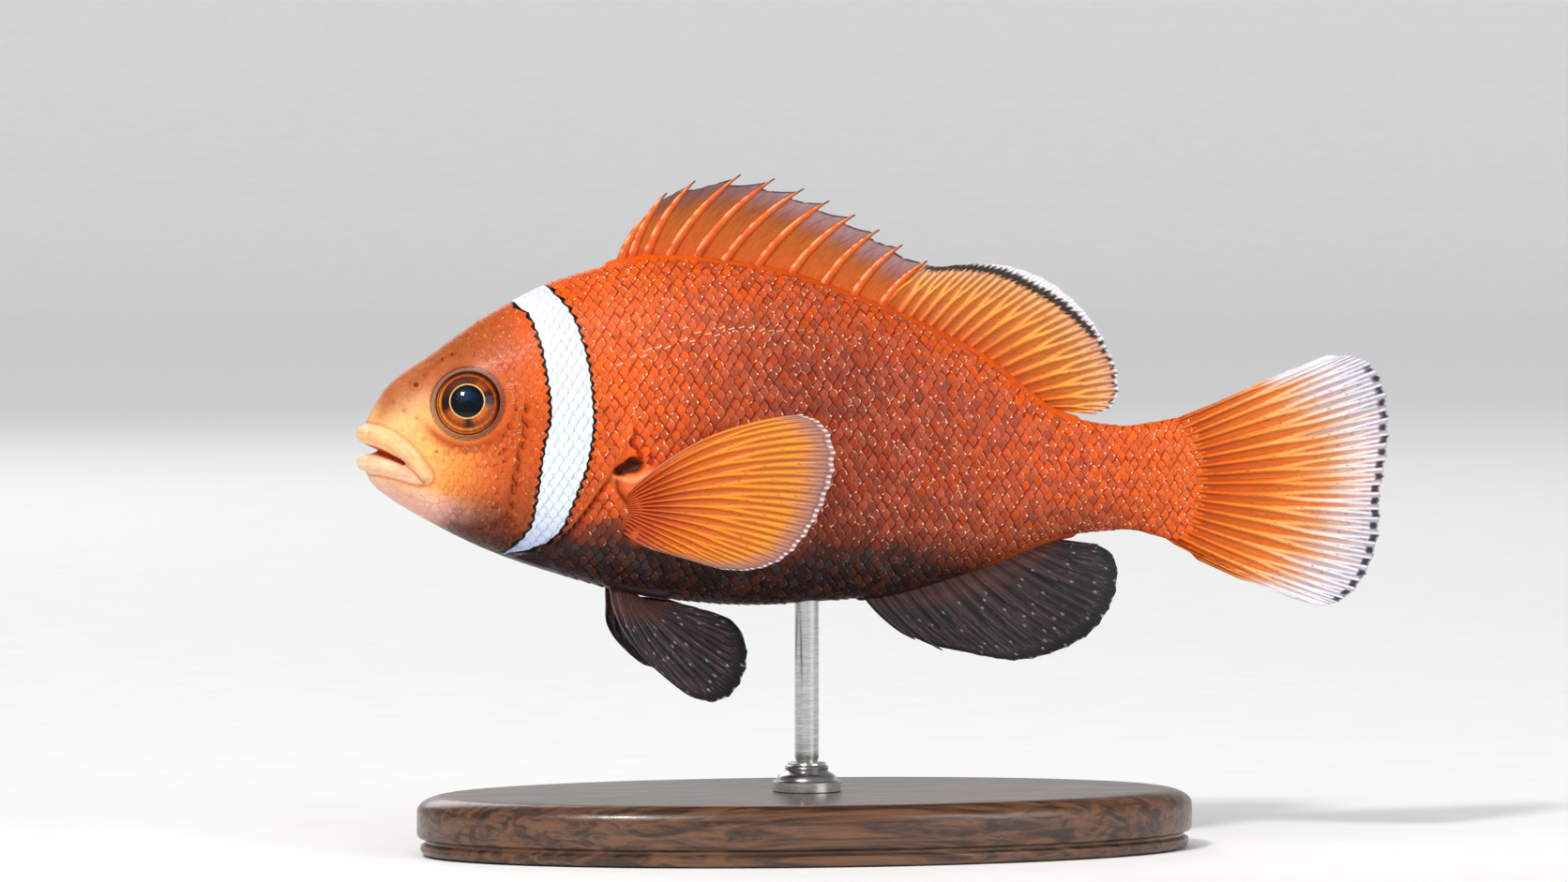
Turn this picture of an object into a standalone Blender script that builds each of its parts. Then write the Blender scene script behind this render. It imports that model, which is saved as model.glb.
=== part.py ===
"""A Maldives clownfish (Amphiprion nigripes) as a still, life-size model on a display stand.

Run it with blender --background --python part.py. The fish swims level with its head towards -X,
its left side towards -Y and its back up. Fish sizes are in millimetres: "behind" is the distance
behind the tip of the lips, and "height" is the height over the swimming line.
"""

import math

import bmesh
import bpy
import numpy as np

MM = 0.001
GAP = 0.3  # clearance between neighbouring pieces

# Driving dimensions
TOTAL_LENGTH = 105.0
SWIM_HEIGHT = 39.0  # the swimming line over the table
NOSE_X = -TOTAL_LENGTH / 2

# The trunk's sections: behind, back, belly, half width, height of the widest line
SECTIONS = np.array((
    (0.7, 2.9, 0.2, 1.3, 1.7),
    (1.6, 5.0, -2.0, 2.6, 1.0),
    (3.5, 7.8, -3.6, 3.5, 0.6),
    (7.3, 10.5, -5.9, 4.7, 0.5),
    (13.0, 14.6, -8.9, 6.2, 0.8),
    (20.5, 18.2, -11.5, 7.3, 1.1),
    (30.0, 20.3, -13.8, 7.8, 1.2),
    (40.0, 19.3, -14.6, 7.5, 0.8),
    (50.8, 16.0, -14.0, 6.3, 0.2),
    (62.2, 10.8, -11.2, 4.4, -0.6),
    (71.7, 4.3, -8.0, 2.8, -1.8),
    (77.4, 3.4, -7.5, 2.2, -2.1),
    (82.0, 4.0, -8.5, 1.7, -2.2),
    (86.8, 5.7, -10.6, 0.8, -2.3),
))
BACK, BELLY, HALF_WIDTH, WIDEST = 1, 2, 3, 4
RING_SIDES = 28
UPPER_FULLNESS = 1.12  # over 1 pinches the back towards its ridge
LOWER_FULLNESS = 0.95  # under 1 fills the belly out

# Lines on the side of the fish, as (behind, height) from top to bottom
GILL_LINE = ((19.5, 24.0), (21.3, 13.0), (23.3, 7.6), (26.4, 3.9), (25.0, 0.0), (21.4, -5.1), (17.6, -8.6),
             (13.0, -13.0))
CHEEK_LINE = ((17.3, 7.2), (16.1, 4.5), (15.3, 0.0), (14.6, -3.4), (12.8, -6.2), (11.0, -7.6))
TAIL_LINE = ((69.0, 12.0), (70.2, 3.0), (70.6, -2.0), (70.2, -7.0), (69.0, -14.0))
MOUTH_CORNER = (5.0, -0.6)
MOUTH_OPEN = 0.8
GILL_COVER_DEPTH = 4.2  # the covers lie outside this distance from the middle plane

# Lips: behind at the front, reach to the corner, half width, front height, fall, radii front and corner
UPPER_LIP = {"front": 0.78, "reach": 5.8, "half_width": 3.95, "height": 2.65, "fall": 4.05, "bow": 2.0,
             "radii": (0.75, 0.95)}
LOWER_LIP = {"front": 0.95, "reach": 5.1, "half_width": 3.3, "height": 0.1, "fall": 1.6, "bow": 1.5,
             "radii": (0.88, 0.5)}

EYE_CENTRE = (10.4, 6.0)
EYE_RADIUS = 3.45
EYE_HALF_DEPTH = 2.3
EYE_BULGE = 0.8  # how far the ball stands out of the head
EYE_TURN, EYE_LIFT = 13.0, 14.0  # degrees that the eye faces forwards and upwards

FIN_WEB = 0.5  # thickness of the web between rays
FIN_ROWS = 5

STAND_CENTRE = 45.2  # behind the nose, where the rod meets the belly
BASE_HALF_LENGTH, BASE_HALF_WIDTH, BASE_HEIGHT, BASE_EDGE = 39.0, 20.5, 6.0, 1.2
ROD_RADIUS = 1.2
ROD_DEPTH = 4.0  # how deep the rod goes into the belly
FERRULE_RADIUS, FERRULE_HEIGHT = 3.4, 2.6


# ---------------------------------------------------------------- curves and sections


def smooth(at, places, values):
    """Cubic interpolation through a few places that never overshoots them."""
    places, values = np.asarray(places, float), np.asarray(values, float)
    spans = np.diff(places)
    rises = np.diff(values) / spans
    before, after = rises[:-1], rises[1:]
    same_way = before * after > 0
    mean = 2 * before * after / np.where(same_way, before + after, 1.0)
    slopes = np.concatenate(([rises[0]], np.where(same_way, mean, 0.0), [rises[-1]]))
    at = np.clip(at, places[0], places[-1])
    i = np.clip(np.searchsorted(places, at, side="right") - 1, 0, len(spans) - 1)
    t = (at - places[i]) / spans[i]
    return ((1 + 2 * t) * (1 - t) ** 2 * values[i] + t * (1 - t) ** 2 * spans[i] * slopes[i]
            + t * t * (3 - 2 * t) * values[i + 1] + t * t * (t - 1) * spans[i] * slopes[i + 1])


def curve(points, count):
    """Points along a smooth curve through a few points, evenly spaced by length."""
    points = np.asarray(points, float)
    steps = np.concatenate(([0.0], np.cumsum(np.linalg.norm(np.diff(points, axis=0), axis=1))))
    at = np.linspace(0.0, steps[-1], count)
    return np.stack([smooth(at, steps, points[:, k]) for k in range(points.shape[1])], axis=1)


def section(behind, column):
    """One measure of the trunk's section at a place behind the nose."""
    return smooth(behind, SECTIONS[:, 0], SECTIONS[:, column])


def side_depth(behind, height):
    """The trunk's half width at a place on its side."""
    widest = section(behind, WIDEST)
    reach = np.where(height > widest, section(behind, BACK) - widest, widest - section(behind, BELLY))
    share = np.clip(np.abs(height - widest) / reach, 0.0, 1.0)
    fullness = np.where(height > widest, UPPER_FULLNESS, LOWER_FULLNESS)
    return section(behind, HALF_WIDTH) * (1 - share**2) ** (fullness / 2)


def place(behind, side, height):
    """A fish point in metres in the model's frame."""
    return ((NOSE_X + behind) * MM, side * MM, (SWIM_HEIGHT + height) * MM)


# ---------------------------------------------------------------- materials and objects


def material(name, colour, roughness, metallic=0.0):
    """A plain finish on one Principled shader."""
    made = bpy.data.materials.new(name)
    made.use_nodes = True
    shader = made.node_tree.nodes["Principled BSDF"]
    shader.inputs["Base Color"].default_value = (*colour, 1.0)
    shader.inputs["Roughness"].default_value = roughness
    shader.inputs["Metallic"].default_value = metallic
    return made


def add_object(name, points, faces, finish, smooth_angle=50.0):
    """A mesh object from points in metres, with its normals facing out."""
    mesh = bpy.data.meshes.new(name)
    mesh.from_pydata([tuple(p) for p in points], [], [tuple(f) for f in faces])
    cleaned = bmesh.new()
    cleaned.from_mesh(mesh)
    bmesh.ops.recalc_face_normals(cleaned, faces=cleaned.faces)
    cleaned.to_mesh(mesh)
    cleaned.free()
    mesh.shade_smooth()
    mesh.set_sharp_from_angle(angle=math.radians(smooth_angle))
    made = bpy.data.objects.new(name, mesh)
    if finish is not None:
        mesh.materials.append(finish)
    bpy.context.scene.collection.objects.link(made)
    return made


def as_cutter(made):
    """Marks an object as a cutter, which isn't a piece of the model."""
    made.hide_render = True
    made.display_type = "WIRE"
    return made


def combine(target, cutter, operation):
    """Adds a Boolean of the target with a cutter: INTERSECT, DIFFERENCE or UNION."""
    modifier = target.modifiers.new(f"{operation.lower()}_{cutter.name}", "BOOLEAN")
    modifier.operation = operation
    modifier.solver = "EXACT"
    modifier.object = cutter


def lofted(rings):
    """Points and faces of a closed loft through rings of equal size, its ends closed by fans."""
    count, sides = len(rings), len(rings[0])
    points = [p for ring in rings for p in ring]
    faces = []
    for i in range(count - 1):
        here, beyond = i * sides, (i + 1) * sides
        faces += [(here + j, here + (j + 1) % sides, beyond + (j + 1) % sides, beyond + j)
                  for j in range(sides)]
    for first, ring in ((0, rings[0]), ((count - 1) * sides, rings[-1])):
        points.append(tuple(np.mean(ring, axis=0)))
        faces += [(first + j, first + (j + 1) % sides, len(points) - 1) for j in range(sides)]
    return points, faces


def prism(name, outline, side_from, side_to):
    """A cutter: an outline on the fish's side, extruded across it."""
    count = len(outline)
    points = [place(b, side, h) for side in (side_from, side_to) for b, h in outline]
    faces = [tuple(range(count)), tuple(range(2 * count - 1, count - 1, -1))]
    faces += [(i, (i + 1) % count, count + (i + 1) % count, count + i) for i in range(count)]
    return as_cutter(add_object(name, points, faces, None))


def tube(name, path, radii, finish, sides=8, cap_rings=2):
    """A closed tube with round ends along a path in fish millimetres, its radius given at each point."""
    path, radii = np.asarray(path, float), np.asarray(radii, float)
    headings = np.gradient(path, axis=0)
    headings /= np.linalg.norm(headings, axis=1)[:, None]
    stations = [(path[i], radii[i], headings[i]) for i in range(len(path))]
    lead, trail = [], []
    for k in range(1, cap_rings + 1):
        angle = math.radians(80 * k / cap_rings)
        for cap, end, sign in ((lead, 0, -1), (trail, -1, 1)):
            centre = path[end] + sign * headings[end] * radii[end] * math.sin(angle)
            cap.append((centre, radii[end] * math.cos(angle), headings[end]))
    rings = []
    for centre, radius, heading in lead[::-1] + stations + trail:
        across = np.cross(heading, (0.0, 0.0, 1.0))
        across /= np.linalg.norm(across)
        upward = np.cross(across, heading)
        turns = np.arange(sides) * 2 * math.pi / sides
        rings.append([place(*(centre + radius * (math.cos(t) * across + math.sin(t) * upward)))
                      for t in turns])
    return add_object(name, *lofted(rings), finish)


def lens(name, centre, axis, radius, half_depth, finish, sides=16, rows=8):
    """An ellipsoid flattened along its axis, in fish millimetres."""
    axis = np.asarray(axis, float) / np.linalg.norm(axis)
    upward = np.cross(np.cross(axis, (0.0, 0.0, 1.0)), axis)
    upward /= np.linalg.norm(upward)
    along = np.cross(upward, axis)
    rings = []
    for angle in np.linspace(0.0, math.pi, rows + 1)[1:-1]:
        middle = np.asarray(centre) + axis * half_depth * math.cos(angle)
        reach = radius * math.sin(angle)
        rings.append([place(*(middle + reach * (math.cos(t) * along + math.sin(t) * upward)))
                      for t in np.arange(sides) * 2 * math.pi / sides])
    return add_object(name, *lofted(rings), finish)


# ---------------------------------------------------------------- the trunk and its divisions


def trunk_ring(behind):
    """The points of one cross-section, from the back down the left side and up the right."""
    widest, half_width = section(behind, WIDEST), section(behind, HALF_WIDTH)
    back, belly = section(behind, BACK), section(behind, BELLY)
    ring = []
    for turn in np.arange(RING_SIDES) * 2 * math.pi / RING_SIDES:
        rise, out = math.cos(turn), math.sin(turn)
        fullness = UPPER_FULLNESS if rise > 0 else LOWER_FULLNESS
        side = -math.copysign(half_width * abs(out) ** fullness, out)
        ring.append(place(behind, side, widest + rise * ((back - widest) if rise > 0 else (widest - belly))))
    return ring


def trunk_object(name, finish):
    """The whole trunk from the snout to the tail's root as one closed loft."""
    snout = np.array((0.7, 1.1, 1.6, 2.3, 3.2, 4.4, 5.8, 7.3))
    rest = np.linspace(9.0, 86.8, 28)
    return add_object(name, *lofted([trunk_ring(b) for b in np.concatenate((snout, rest))]), finish)


def shifted(line, step):
    """A line moved backwards by a step."""
    return [(b + step, h) for b, h in line]


def cut_outlines():
    """The outlines on the fish's side that part the trunk, each drawn back by half a gap."""
    half = GAP / 2
    corner_b, corner_h = MOUTH_CORNER
    gill = [tuple(p) for p in curve(GILL_LINE, 19)]
    cheek = [tuple(p) for p in curve(CHEEK_LINE, 9)]
    tail = [tuple(p) for p in curve(TAIL_LINE, 9)]
    jaw_rear = [(7.2, -2.5), (9.4, -10.0)]
    mouth_top = [(-2.0, 1.9), (2.4, 0.25 + MOUTH_OPEN), (corner_b, corner_h + half)]
    mouth_low = [(-2.0, 0.5), (2.4, 0.25 - MOUTH_OPEN / 2), (corner_b, corner_h - half)]
    cover_gill = [p for p in gill if -8.8 < p[1] < cheek[0][1]]
    bed_top = cheek[0][1] + GAP
    return {
        "head": mouth_top + shifted(jaw_rear, half) + [(9.5, -20.0)] + shifted(gill, -half)[::-1]
        + [(-2.0, 24.0)],
        "jaw": [(-2.0, -20.0)] + mouth_low + shifted(jaw_rear, -half) + [(9.3, -20.0)],
        "cover": cheek + shifted(cover_gill, -half)[::-1],
        "cover_bed": [(cheek[0][0] - GAP, bed_top)] + shifted(cheek[1:-1], -GAP)
        + [(cheek[-1][0] - GAP, cheek[-1][1] - GAP), (19.0, -12.0), (40.0, -12.0), (40.0, bed_top)],
        "trunk": shifted(gill, half) + [(14.0, -24.0)] + shifted(tail, -half)[::-1] + [(69.0, 28.0)],
        "stalk": shifted(tail, half) + [(95.0, -14.0), (95.0, 12.0)],
        "caudal_bed": [tuple(p) for p in curve(caudal_root(-GAP), 9)] + [(99.0, -20.0), (99.0, 20.0)],
    }


def lip_path(lip):
    """A lip's centre line from the right corner round the front to the left one, and its radii."""
    turns = np.radians(np.linspace(-90, 90, 15))
    back_share = 1 - np.cos(turns)
    path = np.stack((lip["front"] + lip["reach"] * back_share, -lip["half_width"] * np.sin(turns),
                     lip["height"] - lip["fall"] * back_share ** lip["bow"]), axis=1)
    front, corner = lip["radii"]
    return path, front + (corner - front) * back_share


def make_trunk(skin, lip_finish):
    """The head, jaw, lips, gill covers, trunk and tail stalk."""
    outlines = cut_outlines()
    wide = 30.0
    head = trunk_object("head", skin)
    combine(head, prism("head_outline", outlines["head"], -wide, wide), "INTERSECT")
    jaw = trunk_object("lower_jaw", skin)
    combine(jaw, prism("jaw_outline", outlines["jaw"], -wide, wide), "INTERSECT")
    lower_path, lower_radii = lip_path(LOWER_LIP)
    combine(jaw, as_cutter(tube("lower_lip_roll", lower_path, lower_radii, None)), "UNION")
    upper_path, upper_radii = lip_path(UPPER_LIP)
    tube("upper_lip", upper_path, upper_radii, lip_finish)
    upper_groove = as_cutter(tube("upper_lip_groove", upper_path, upper_radii + GAP, None))
    lower_groove = as_cutter(tube("lower_lip_groove", lower_path, lower_radii + GAP, None))
    combine(head, upper_groove, "DIFFERENCE")
    combine(head, lower_groove, "DIFFERENCE")
    combine(jaw, upper_groove, "DIFFERENCE")
    for side, sign in (("left", -1), ("right", 1)):
        cover = trunk_object(f"gill_cover_{side}", skin)
        outline = prism(f"cover_outline_{side}", outlines["cover"], sign * GILL_COVER_DEPTH, sign * wide)
        combine(cover, outline, "INTERSECT")
        bed = prism(f"cover_bed_{side}", outlines["cover_bed"], sign * (GILL_COVER_DEPTH - GAP), sign * wide)
        combine(head, bed, "DIFFERENCE")
        make_eye(side, sign, head)
    trunk = trunk_object("trunk", skin)
    combine(trunk, prism("trunk_outline", outlines["trunk"], -wide, wide), "INTERSECT")
    stalk = trunk_object("tail_stalk", skin)
    combine(stalk, prism("stalk_outline", outlines["stalk"], -wide, wide), "INTERSECT")
    combine(stalk, prism("caudal_bed", outlines["caudal_bed"], -wide, wide), "DIFFERENCE")
    return trunk


def make_eye(side, sign, head):
    """One eyeball, set into its socket so that only its front stands out."""
    behind, height = EYE_CENTRE
    turn, lift = math.radians(EYE_TURN), math.radians(EYE_LIFT)
    axis = np.array((-math.sin(turn), sign * math.cos(turn) * math.cos(lift),
                     math.cos(turn) * math.sin(lift)))
    front = np.array((behind, sign * float(side_depth(behind, height)), height))
    centre = front + axis * (EYE_BULGE - EYE_HALF_DEPTH)
    lens(f"eye_{side}", centre, axis, EYE_RADIUS, EYE_HALF_DEPTH, FINISHES["eye"])
    socket = lens(f"socket_{side}", centre, axis, EYE_RADIUS + GAP, EYE_HALF_DEPTH + GAP, None)
    combine(head, as_cutter(socket), "DIFFERENCE")


# ---------------------------------------------------------------- fins


def ray(root, tip, bow):
    """One fin ray from root to tip as rows of (behind, height), bowed sideways by a share of its length."""
    root, tip = np.asarray(root, float), np.asarray(tip, float)
    share = np.linspace(0.0, 1.0, FIN_ROWS)[:, None]
    run = tip - root
    return root + run * share + np.array((-run[1], run[0])) * bow * 4 * share * (1 - share)


def cut_short(path, share):
    """A ray's path as far as a share of its length, with as many rows."""
    rows = np.linspace(0.0, 1.0, FIN_ROWS)
    return np.stack([np.interp(rows * share, rows, path[:, k]) for k in range(2)], axis=1)


def soft_columns(roots, tips, bow_from, bow_to, scallop=0.012):
    """Columns of a soft fin: each ray, and the web between rays, which ends a little short of them."""
    bows = np.linspace(bow_from, bow_to, len(roots))
    rays = [ray(r, t, b) for r, t, b in zip(roots, tips, bows)]
    columns = []
    for k, path in enumerate(rays):
        columns.append((path, True))
        if k + 1 < len(rays):
            columns.append((cut_short((path + rays[k + 1]) / 2, 1 - scallop), False))
    return columns


def spiny_columns(roots, tips, bow, fall, rise):
    """Columns of a spiny fin: the web starts below each spine's tip and climbs to near the next one's."""
    spines = [ray(r, t, bow) for r, t in zip(roots, tips)]
    columns = []
    for k, spine in enumerate(spines):
        columns.append((spine, True))
        if k + 1 == len(spines):
            break
        following = spines[k + 1]
        step = (following[0] - spine[0]) * 0.3
        behind, ahead = cut_short(spine, 1 - fall) + step, cut_short(following, 1 - rise) - step
        columns.append((behind, False))
        columns.append((cut_short((behind + ahead) / 2, 0.975), False))
        columns.append((ahead, False))
    return columns


def flat_middle(path):
    """The fin stands in the fish's middle plane."""
    return np.stack((path[:, 0], np.zeros(len(path)), path[:, 1]), axis=1)


def make_fin(name, columns, finish, ray_radius, lift=flat_middle, across=(0.0, 1.0, 0.0)):
    """A closed plate over the columns, thicker along its rays. Lift places a column's rows in the fish,
    and across is the direction of the plate's thickness."""
    across = np.asarray(across, float)
    faces, points = [], []
    count = len(columns)
    for path, is_ray in columns:
        thick = np.linspace(ray_radius, FIN_WEB / 2, FIN_ROWS) if is_ray else np.full(FIN_ROWS, FIN_WEB / 2)
        rows = lift(path)
        for sign in (-1, 1):
            points += [place(*p) for p in rows + sign * thick[:, None] * across]
    def at(column, side, row):
        return (column * 2 + side) * FIN_ROWS + row
    for c in range(count - 1):
        for r in range(FIN_ROWS - 1):
            faces.append((at(c, 0, r), at(c + 1, 0, r), at(c + 1, 0, r + 1), at(c, 0, r + 1)))
            faces.append((at(c, 1, r + 1), at(c + 1, 1, r + 1), at(c + 1, 1, r), at(c, 1, r)))
        for r in (0, FIN_ROWS - 1):
            faces.append((at(c, 0, r), at(c, 1, r), at(c + 1, 1, r), at(c + 1, 0, r)))
    for c in (0, count - 1):
        for r in range(FIN_ROWS - 1):
            faces.append((at(c, 0, r), at(c, 0, r + 1), at(c, 1, r + 1), at(c, 1, r)))
    return add_object(name, points, faces, finish, smooth_angle=60.0)


def on_back(behinds, lift=GAP):
    """Roots along the ridge of the back, a gap over it."""
    return [(b, float(section(b, BACK)) + lift) for b in behinds]


def on_belly(behinds, drop=GAP):
    """Roots along the keel of the belly, a gap under it."""
    return [(b, float(section(b, BELLY)) - drop) for b in behinds]


SPINE_ROOTS = (26.6, 27.6, 29.1, 31.4, 34.1, 37.0, 40.3, 43.7, 47.0, 50.0, 52.8)
SPINE_TIPS = ((29.1, 24.1), (31.1, 26.4), (33.9, 27.6), (38.5, 28.3), (41.9, 27.8), (44.9, 26.8),
              (47.5, 25.6), (50.1, 24.2), (52.5, 22.7), (54.8, 21.2), (57.3, 19.6))
SOFT_DORSAL_FROM, SOFT_DORSAL_TO, SOFT_DORSAL_RAYS = 54.6, 71.0, 17
SOFT_DORSAL_EDGE = ((58.6, 19.1), (62.2, 19.4), (66.0, 19.1), (69.8, 17.7), (73.6, 14.4), (76.3, 10.2),
                    (77.1, 7.2), (76.2, 5.0), (74.6, 4.3))
ANAL_SPINE_ROOTS, ANAL_SPINE_TIPS = (51.6, 53.0), ((56.2, -18.0), (58.9, -19.1))
ANAL_FROM, ANAL_TO, ANAL_RAYS = 54.2, 71.0, 14
ANAL_EDGE = ((60.8, -19.3), (63.7, -19.9), (66.9, -20.3), (70.3, -19.6), (73.6, -18.0), (75.9, -15.3),
             (77.0, -12.1), (76.6, -10.0), (74.8, -8.7))
CAUDAL_EDGE = ((98.7, 10.1), (101.0, 10.1), (102.9, 9.3), (104.3, 7.0), (105.0, 3.3), (104.7, -0.5),
               (103.9, -3.9), (103.9, -8.2), (102.7, -11.9), (100.3, -14.5), (97.7, -15.1))
CAUDAL_ROOT = ((83.2, 5.6), (84.9, 2.0), (85.6, -2.2), (84.9, -6.4), (83.2, -11.0))
CAUDAL_RAYS = 17
PECTORAL_ROOT = ((27.6, -1.2), (28.3, -4.6), (27.5, -7.9))
PECTORAL_EDGE = ((42.2, 4.9), (43.8, 4.3), (45.1, 2.8), (45.5, 1.1), (45.2, -1.4), (44.2, -4.5), (42.7, -7.2),
                 (40.7, -9.3), (38.1, -10.4), (35.6, -10.5), (32.5, -9.7), (30.2, -8.8))
PECTORAL_RAYS = 17
PECTORAL_SPREAD = 0.36  # how fast the fin leaves the flank
PECTORAL_CURL = 0.006  # how much less it does so per millimetre
PELVIC_FROM, PELVIC_TO = 25.8, 30.0
PELVIC_TIPS = ((29.7, -8.2), (33.6, -11.3), (36.1, -10.8), (37.9, -8.2), (38.6, -5.0), (37.0, -1.6))
PELVIC_SIDE = 1.9  # the root's distance from the middle plane
PELVIC_POSES = {"left": (30.0, 0.0), "right": (52.0, 8.0)}  # degrees of splay outwards and swing forwards


def caudal_root(step):
    """The tail fin's root, an arc across the stalk, moved back by a step."""
    return [(behind + step, height) for behind, height in CAUDAL_ROOT]


def make_middle_fins(fin_finish, dark_finish):
    """The fins in the middle plane: dorsal, anal and caudal."""
    spiny = spiny_columns(on_back(SPINE_ROOTS), SPINE_TIPS, bow=0.06, fall=0.15, rise=0.05)
    make_fin("dorsal_fin_spiny", spiny, fin_finish, ray_radius=0.5)
    roots = on_back(np.linspace(SOFT_DORSAL_FROM, SOFT_DORSAL_TO, SOFT_DORSAL_RAYS))
    soft = soft_columns(roots, curve(SOFT_DORSAL_EDGE, SOFT_DORSAL_RAYS), 0.03, 0.0)
    first = cut_short(ray(on_back([53.4])[0], (58.0, 19.1), 0.04), 0.98)
    make_fin("dorsal_fin_soft", [(first, False)] + soft, fin_finish, ray_radius=0.42)
    anal = spiny_columns(on_belly(ANAL_SPINE_ROOTS), ANAL_SPINE_TIPS, bow=-0.05, fall=0.12, rise=0.06)
    roots = on_belly(np.linspace(ANAL_FROM, ANAL_TO, ANAL_RAYS))
    anal += soft_columns(roots, curve(ANAL_EDGE, ANAL_RAYS), -0.05, 0.0)
    make_fin("anal_fin", anal, dark_finish, ray_radius=0.42)
    caudal_roots = curve(CAUDAL_ROOT, CAUDAL_RAYS + 4)[2:-2]
    caudal = soft_columns(caudal_roots, curve(CAUDAL_EDGE, CAUDAL_RAYS), 0.0, -0.02)
    make_fin("caudal_fin", caudal, fin_finish, ray_radius=0.55)


def make_pectorals(fin_finish):
    """The pectoral fins, fanned out and standing off the flanks."""
    roots = curve(PECTORAL_ROOT, PECTORAL_RAYS)
    tips = curve(PECTORAL_EDGE, PECTORAL_RAYS)
    ray_radius = 0.45
    for side, sign in (("left", -1), ("right", 1)):
        def lift(path, sign=sign):
            run = path[:, 0] - path[0, 0]
            out = side_depth(path[0, 0], path[0, 1]) + GAP + ray_radius + 0.1
            away = out + PECTORAL_SPREAD * run * (1 - PECTORAL_CURL * run)
            return np.stack((path[:, 0], sign * away, path[:, 1]), axis=1)
        columns = soft_columns(roots, tips, 0.085, -0.04)
        make_fin(f"pectoral_fin_{side}", columns, fin_finish, ray_radius, lift, (0.33, sign * 0.94, 0.0))


def make_pelvics(dark_finish):
    """The pelvic fins under the breast, the right one spread wider and further forwards than the left."""
    for side, sign in (("left", -1), ("right", 1)):
        splay, swing = (math.radians(angle) for angle in PELVIC_POSES[side])
        behinds = np.linspace(PELVIC_FROM, PELVIC_TO, len(PELVIC_TIPS))
        keel = float(section(PELVIC_TO, BELLY)) - GAP
        def lift(path, sign=sign, splay=splay, swing=swing, keel=keel):
            along, down = path[:, 0] - PELVIC_FROM, -path[:, 1]
            lag = np.clip(down / 3.0, 0.0, 1.0)  # the root stays in line with the belly
            forward = along - (along - along * math.cos(swing) + down * math.sin(swing)) * lag
            down = down + (down * math.cos(swing) + along * math.sin(swing) - down) * lag
            return np.stack((PELVIC_FROM + forward, sign * (PELVIC_SIDE + down * math.sin(splay)),
                             keel - down * math.cos(splay)), axis=1)
        spine = ray((behinds[0] - 0.5, 0.0), PELVIC_TIPS[0], -0.07)
        roots = [(b, -0.15) for b in behinds[1:]]
        columns = [(spine, True)] + soft_columns(roots, PELVIC_TIPS[1:], -0.085, 0.02)
        across = (0.0, math.cos(splay), sign * math.sin(splay))
        make_fin(f"pelvic_fin_{side}", columns, dark_finish, 0.42, lift, across)


# ---------------------------------------------------------------- the stand


def turned(name, outline, finish, sides=16, stretch=(1.0, 1.0)):
    """A closed turned piece on the stand's axis, its outline given as (radius, height over the table)."""
    axis_x = NOSE_X + STAND_CENTRE
    turns = np.arange(sides) * 2 * math.pi / sides
    rings = [[((axis_x + r * stretch[0] * math.cos(t)) * MM, r * stretch[1] * math.sin(t) * MM, z * MM)
              for t in turns] for r, z in outline]
    return add_object(name, *lofted(rings), finish, smooth_angle=30.0)


def make_stand(trunk, wood, steel):
    """An oval wooden base, a ferrule and one steel rod that goes up into the belly."""
    top, edge = BASE_HEIGHT, BASE_EDGE / BASE_HALF_WIDTH
    profile = ((1 - edge / 3, 0.0), (1.0, BASE_EDGE / 3), (1.0, top - BASE_EDGE),
               (1 - edge / 3, top - BASE_EDGE / 3), (1 - edge, top))
    turned("stand_base", profile, wood, 36, (BASE_HALF_LENGTH, BASE_HALF_WIDTH))
    foot = top + GAP
    profile = ((FERRULE_RADIUS, foot), (FERRULE_RADIUS, foot + 0.9), (FERRULE_RADIUS * 0.62, foot + 1.7),
               (FERRULE_RADIUS * 0.55, foot + FERRULE_HEIGHT))
    turned("stand_ferrule", profile, steel)
    belly = SWIM_HEIGHT + float(section(STAND_CENTRE, BELLY))
    rod_top = belly + ROD_DEPTH
    turned("stand_rod", ((ROD_RADIUS, foot + FERRULE_HEIGHT + GAP), (ROD_RADIUS, rod_top)), steel)
    socket = turned("rod_socket", ((ROD_RADIUS + GAP, belly - 5.0), (ROD_RADIUS + GAP, rod_top + GAP)), None)
    combine(trunk, as_cutter(socket), "DIFFERENCE")


def clear_scene():
    """Removes whatever the scene starts with."""
    for old in list(bpy.data.objects):
        bpy.data.objects.remove(old)


clear_scene()
FINISHES = {
    "skin": material("orange_skin", (0.62, 0.14, 0.035), 0.42),
    "lip": material("pale_lip", (0.93, 0.52, 0.28), 0.4),
    "eye": material("dark_eye", (0.03, 0.012, 0.008), 0.1),
    "fin": material("amber_fin", (0.8, 0.27, 0.05), 0.4),
    "dark_fin": material("black_fin", (0.02, 0.014, 0.013), 0.4),
    "wood": material("dark_wood", (0.09, 0.04, 0.02), 0.45),
    "steel": material("brushed_rod", (0.6, 0.6, 0.6), 0.3, 1.0),
}
trunk_piece = make_trunk(FINISHES["skin"], FINISHES["lip"])
make_middle_fins(FINISHES["fin"], FINISHES["dark_fin"])
make_pectorals(FINISHES["fin"])
make_pelvics(FINISHES["dark_fin"])
make_stand(trunk_piece, FINISHES["wood"], FINISHES["steel"])
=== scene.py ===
"""Looks of a life-size Maldives clownfish on its display stand.

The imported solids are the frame, and every piece here is placed from them. Sizes of the fish are in
millimetres. A fish point is (behind, side, height): behind the tip of the lips, towards the fish's
right, and over its swimming line. FishFrame turns such points into the model's metres.
"""

from __future__ import annotations

import logging
import math
from dataclasses import dataclass, field, replace
from enum import Enum
from typing import Callable, Iterator, Sequence

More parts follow.
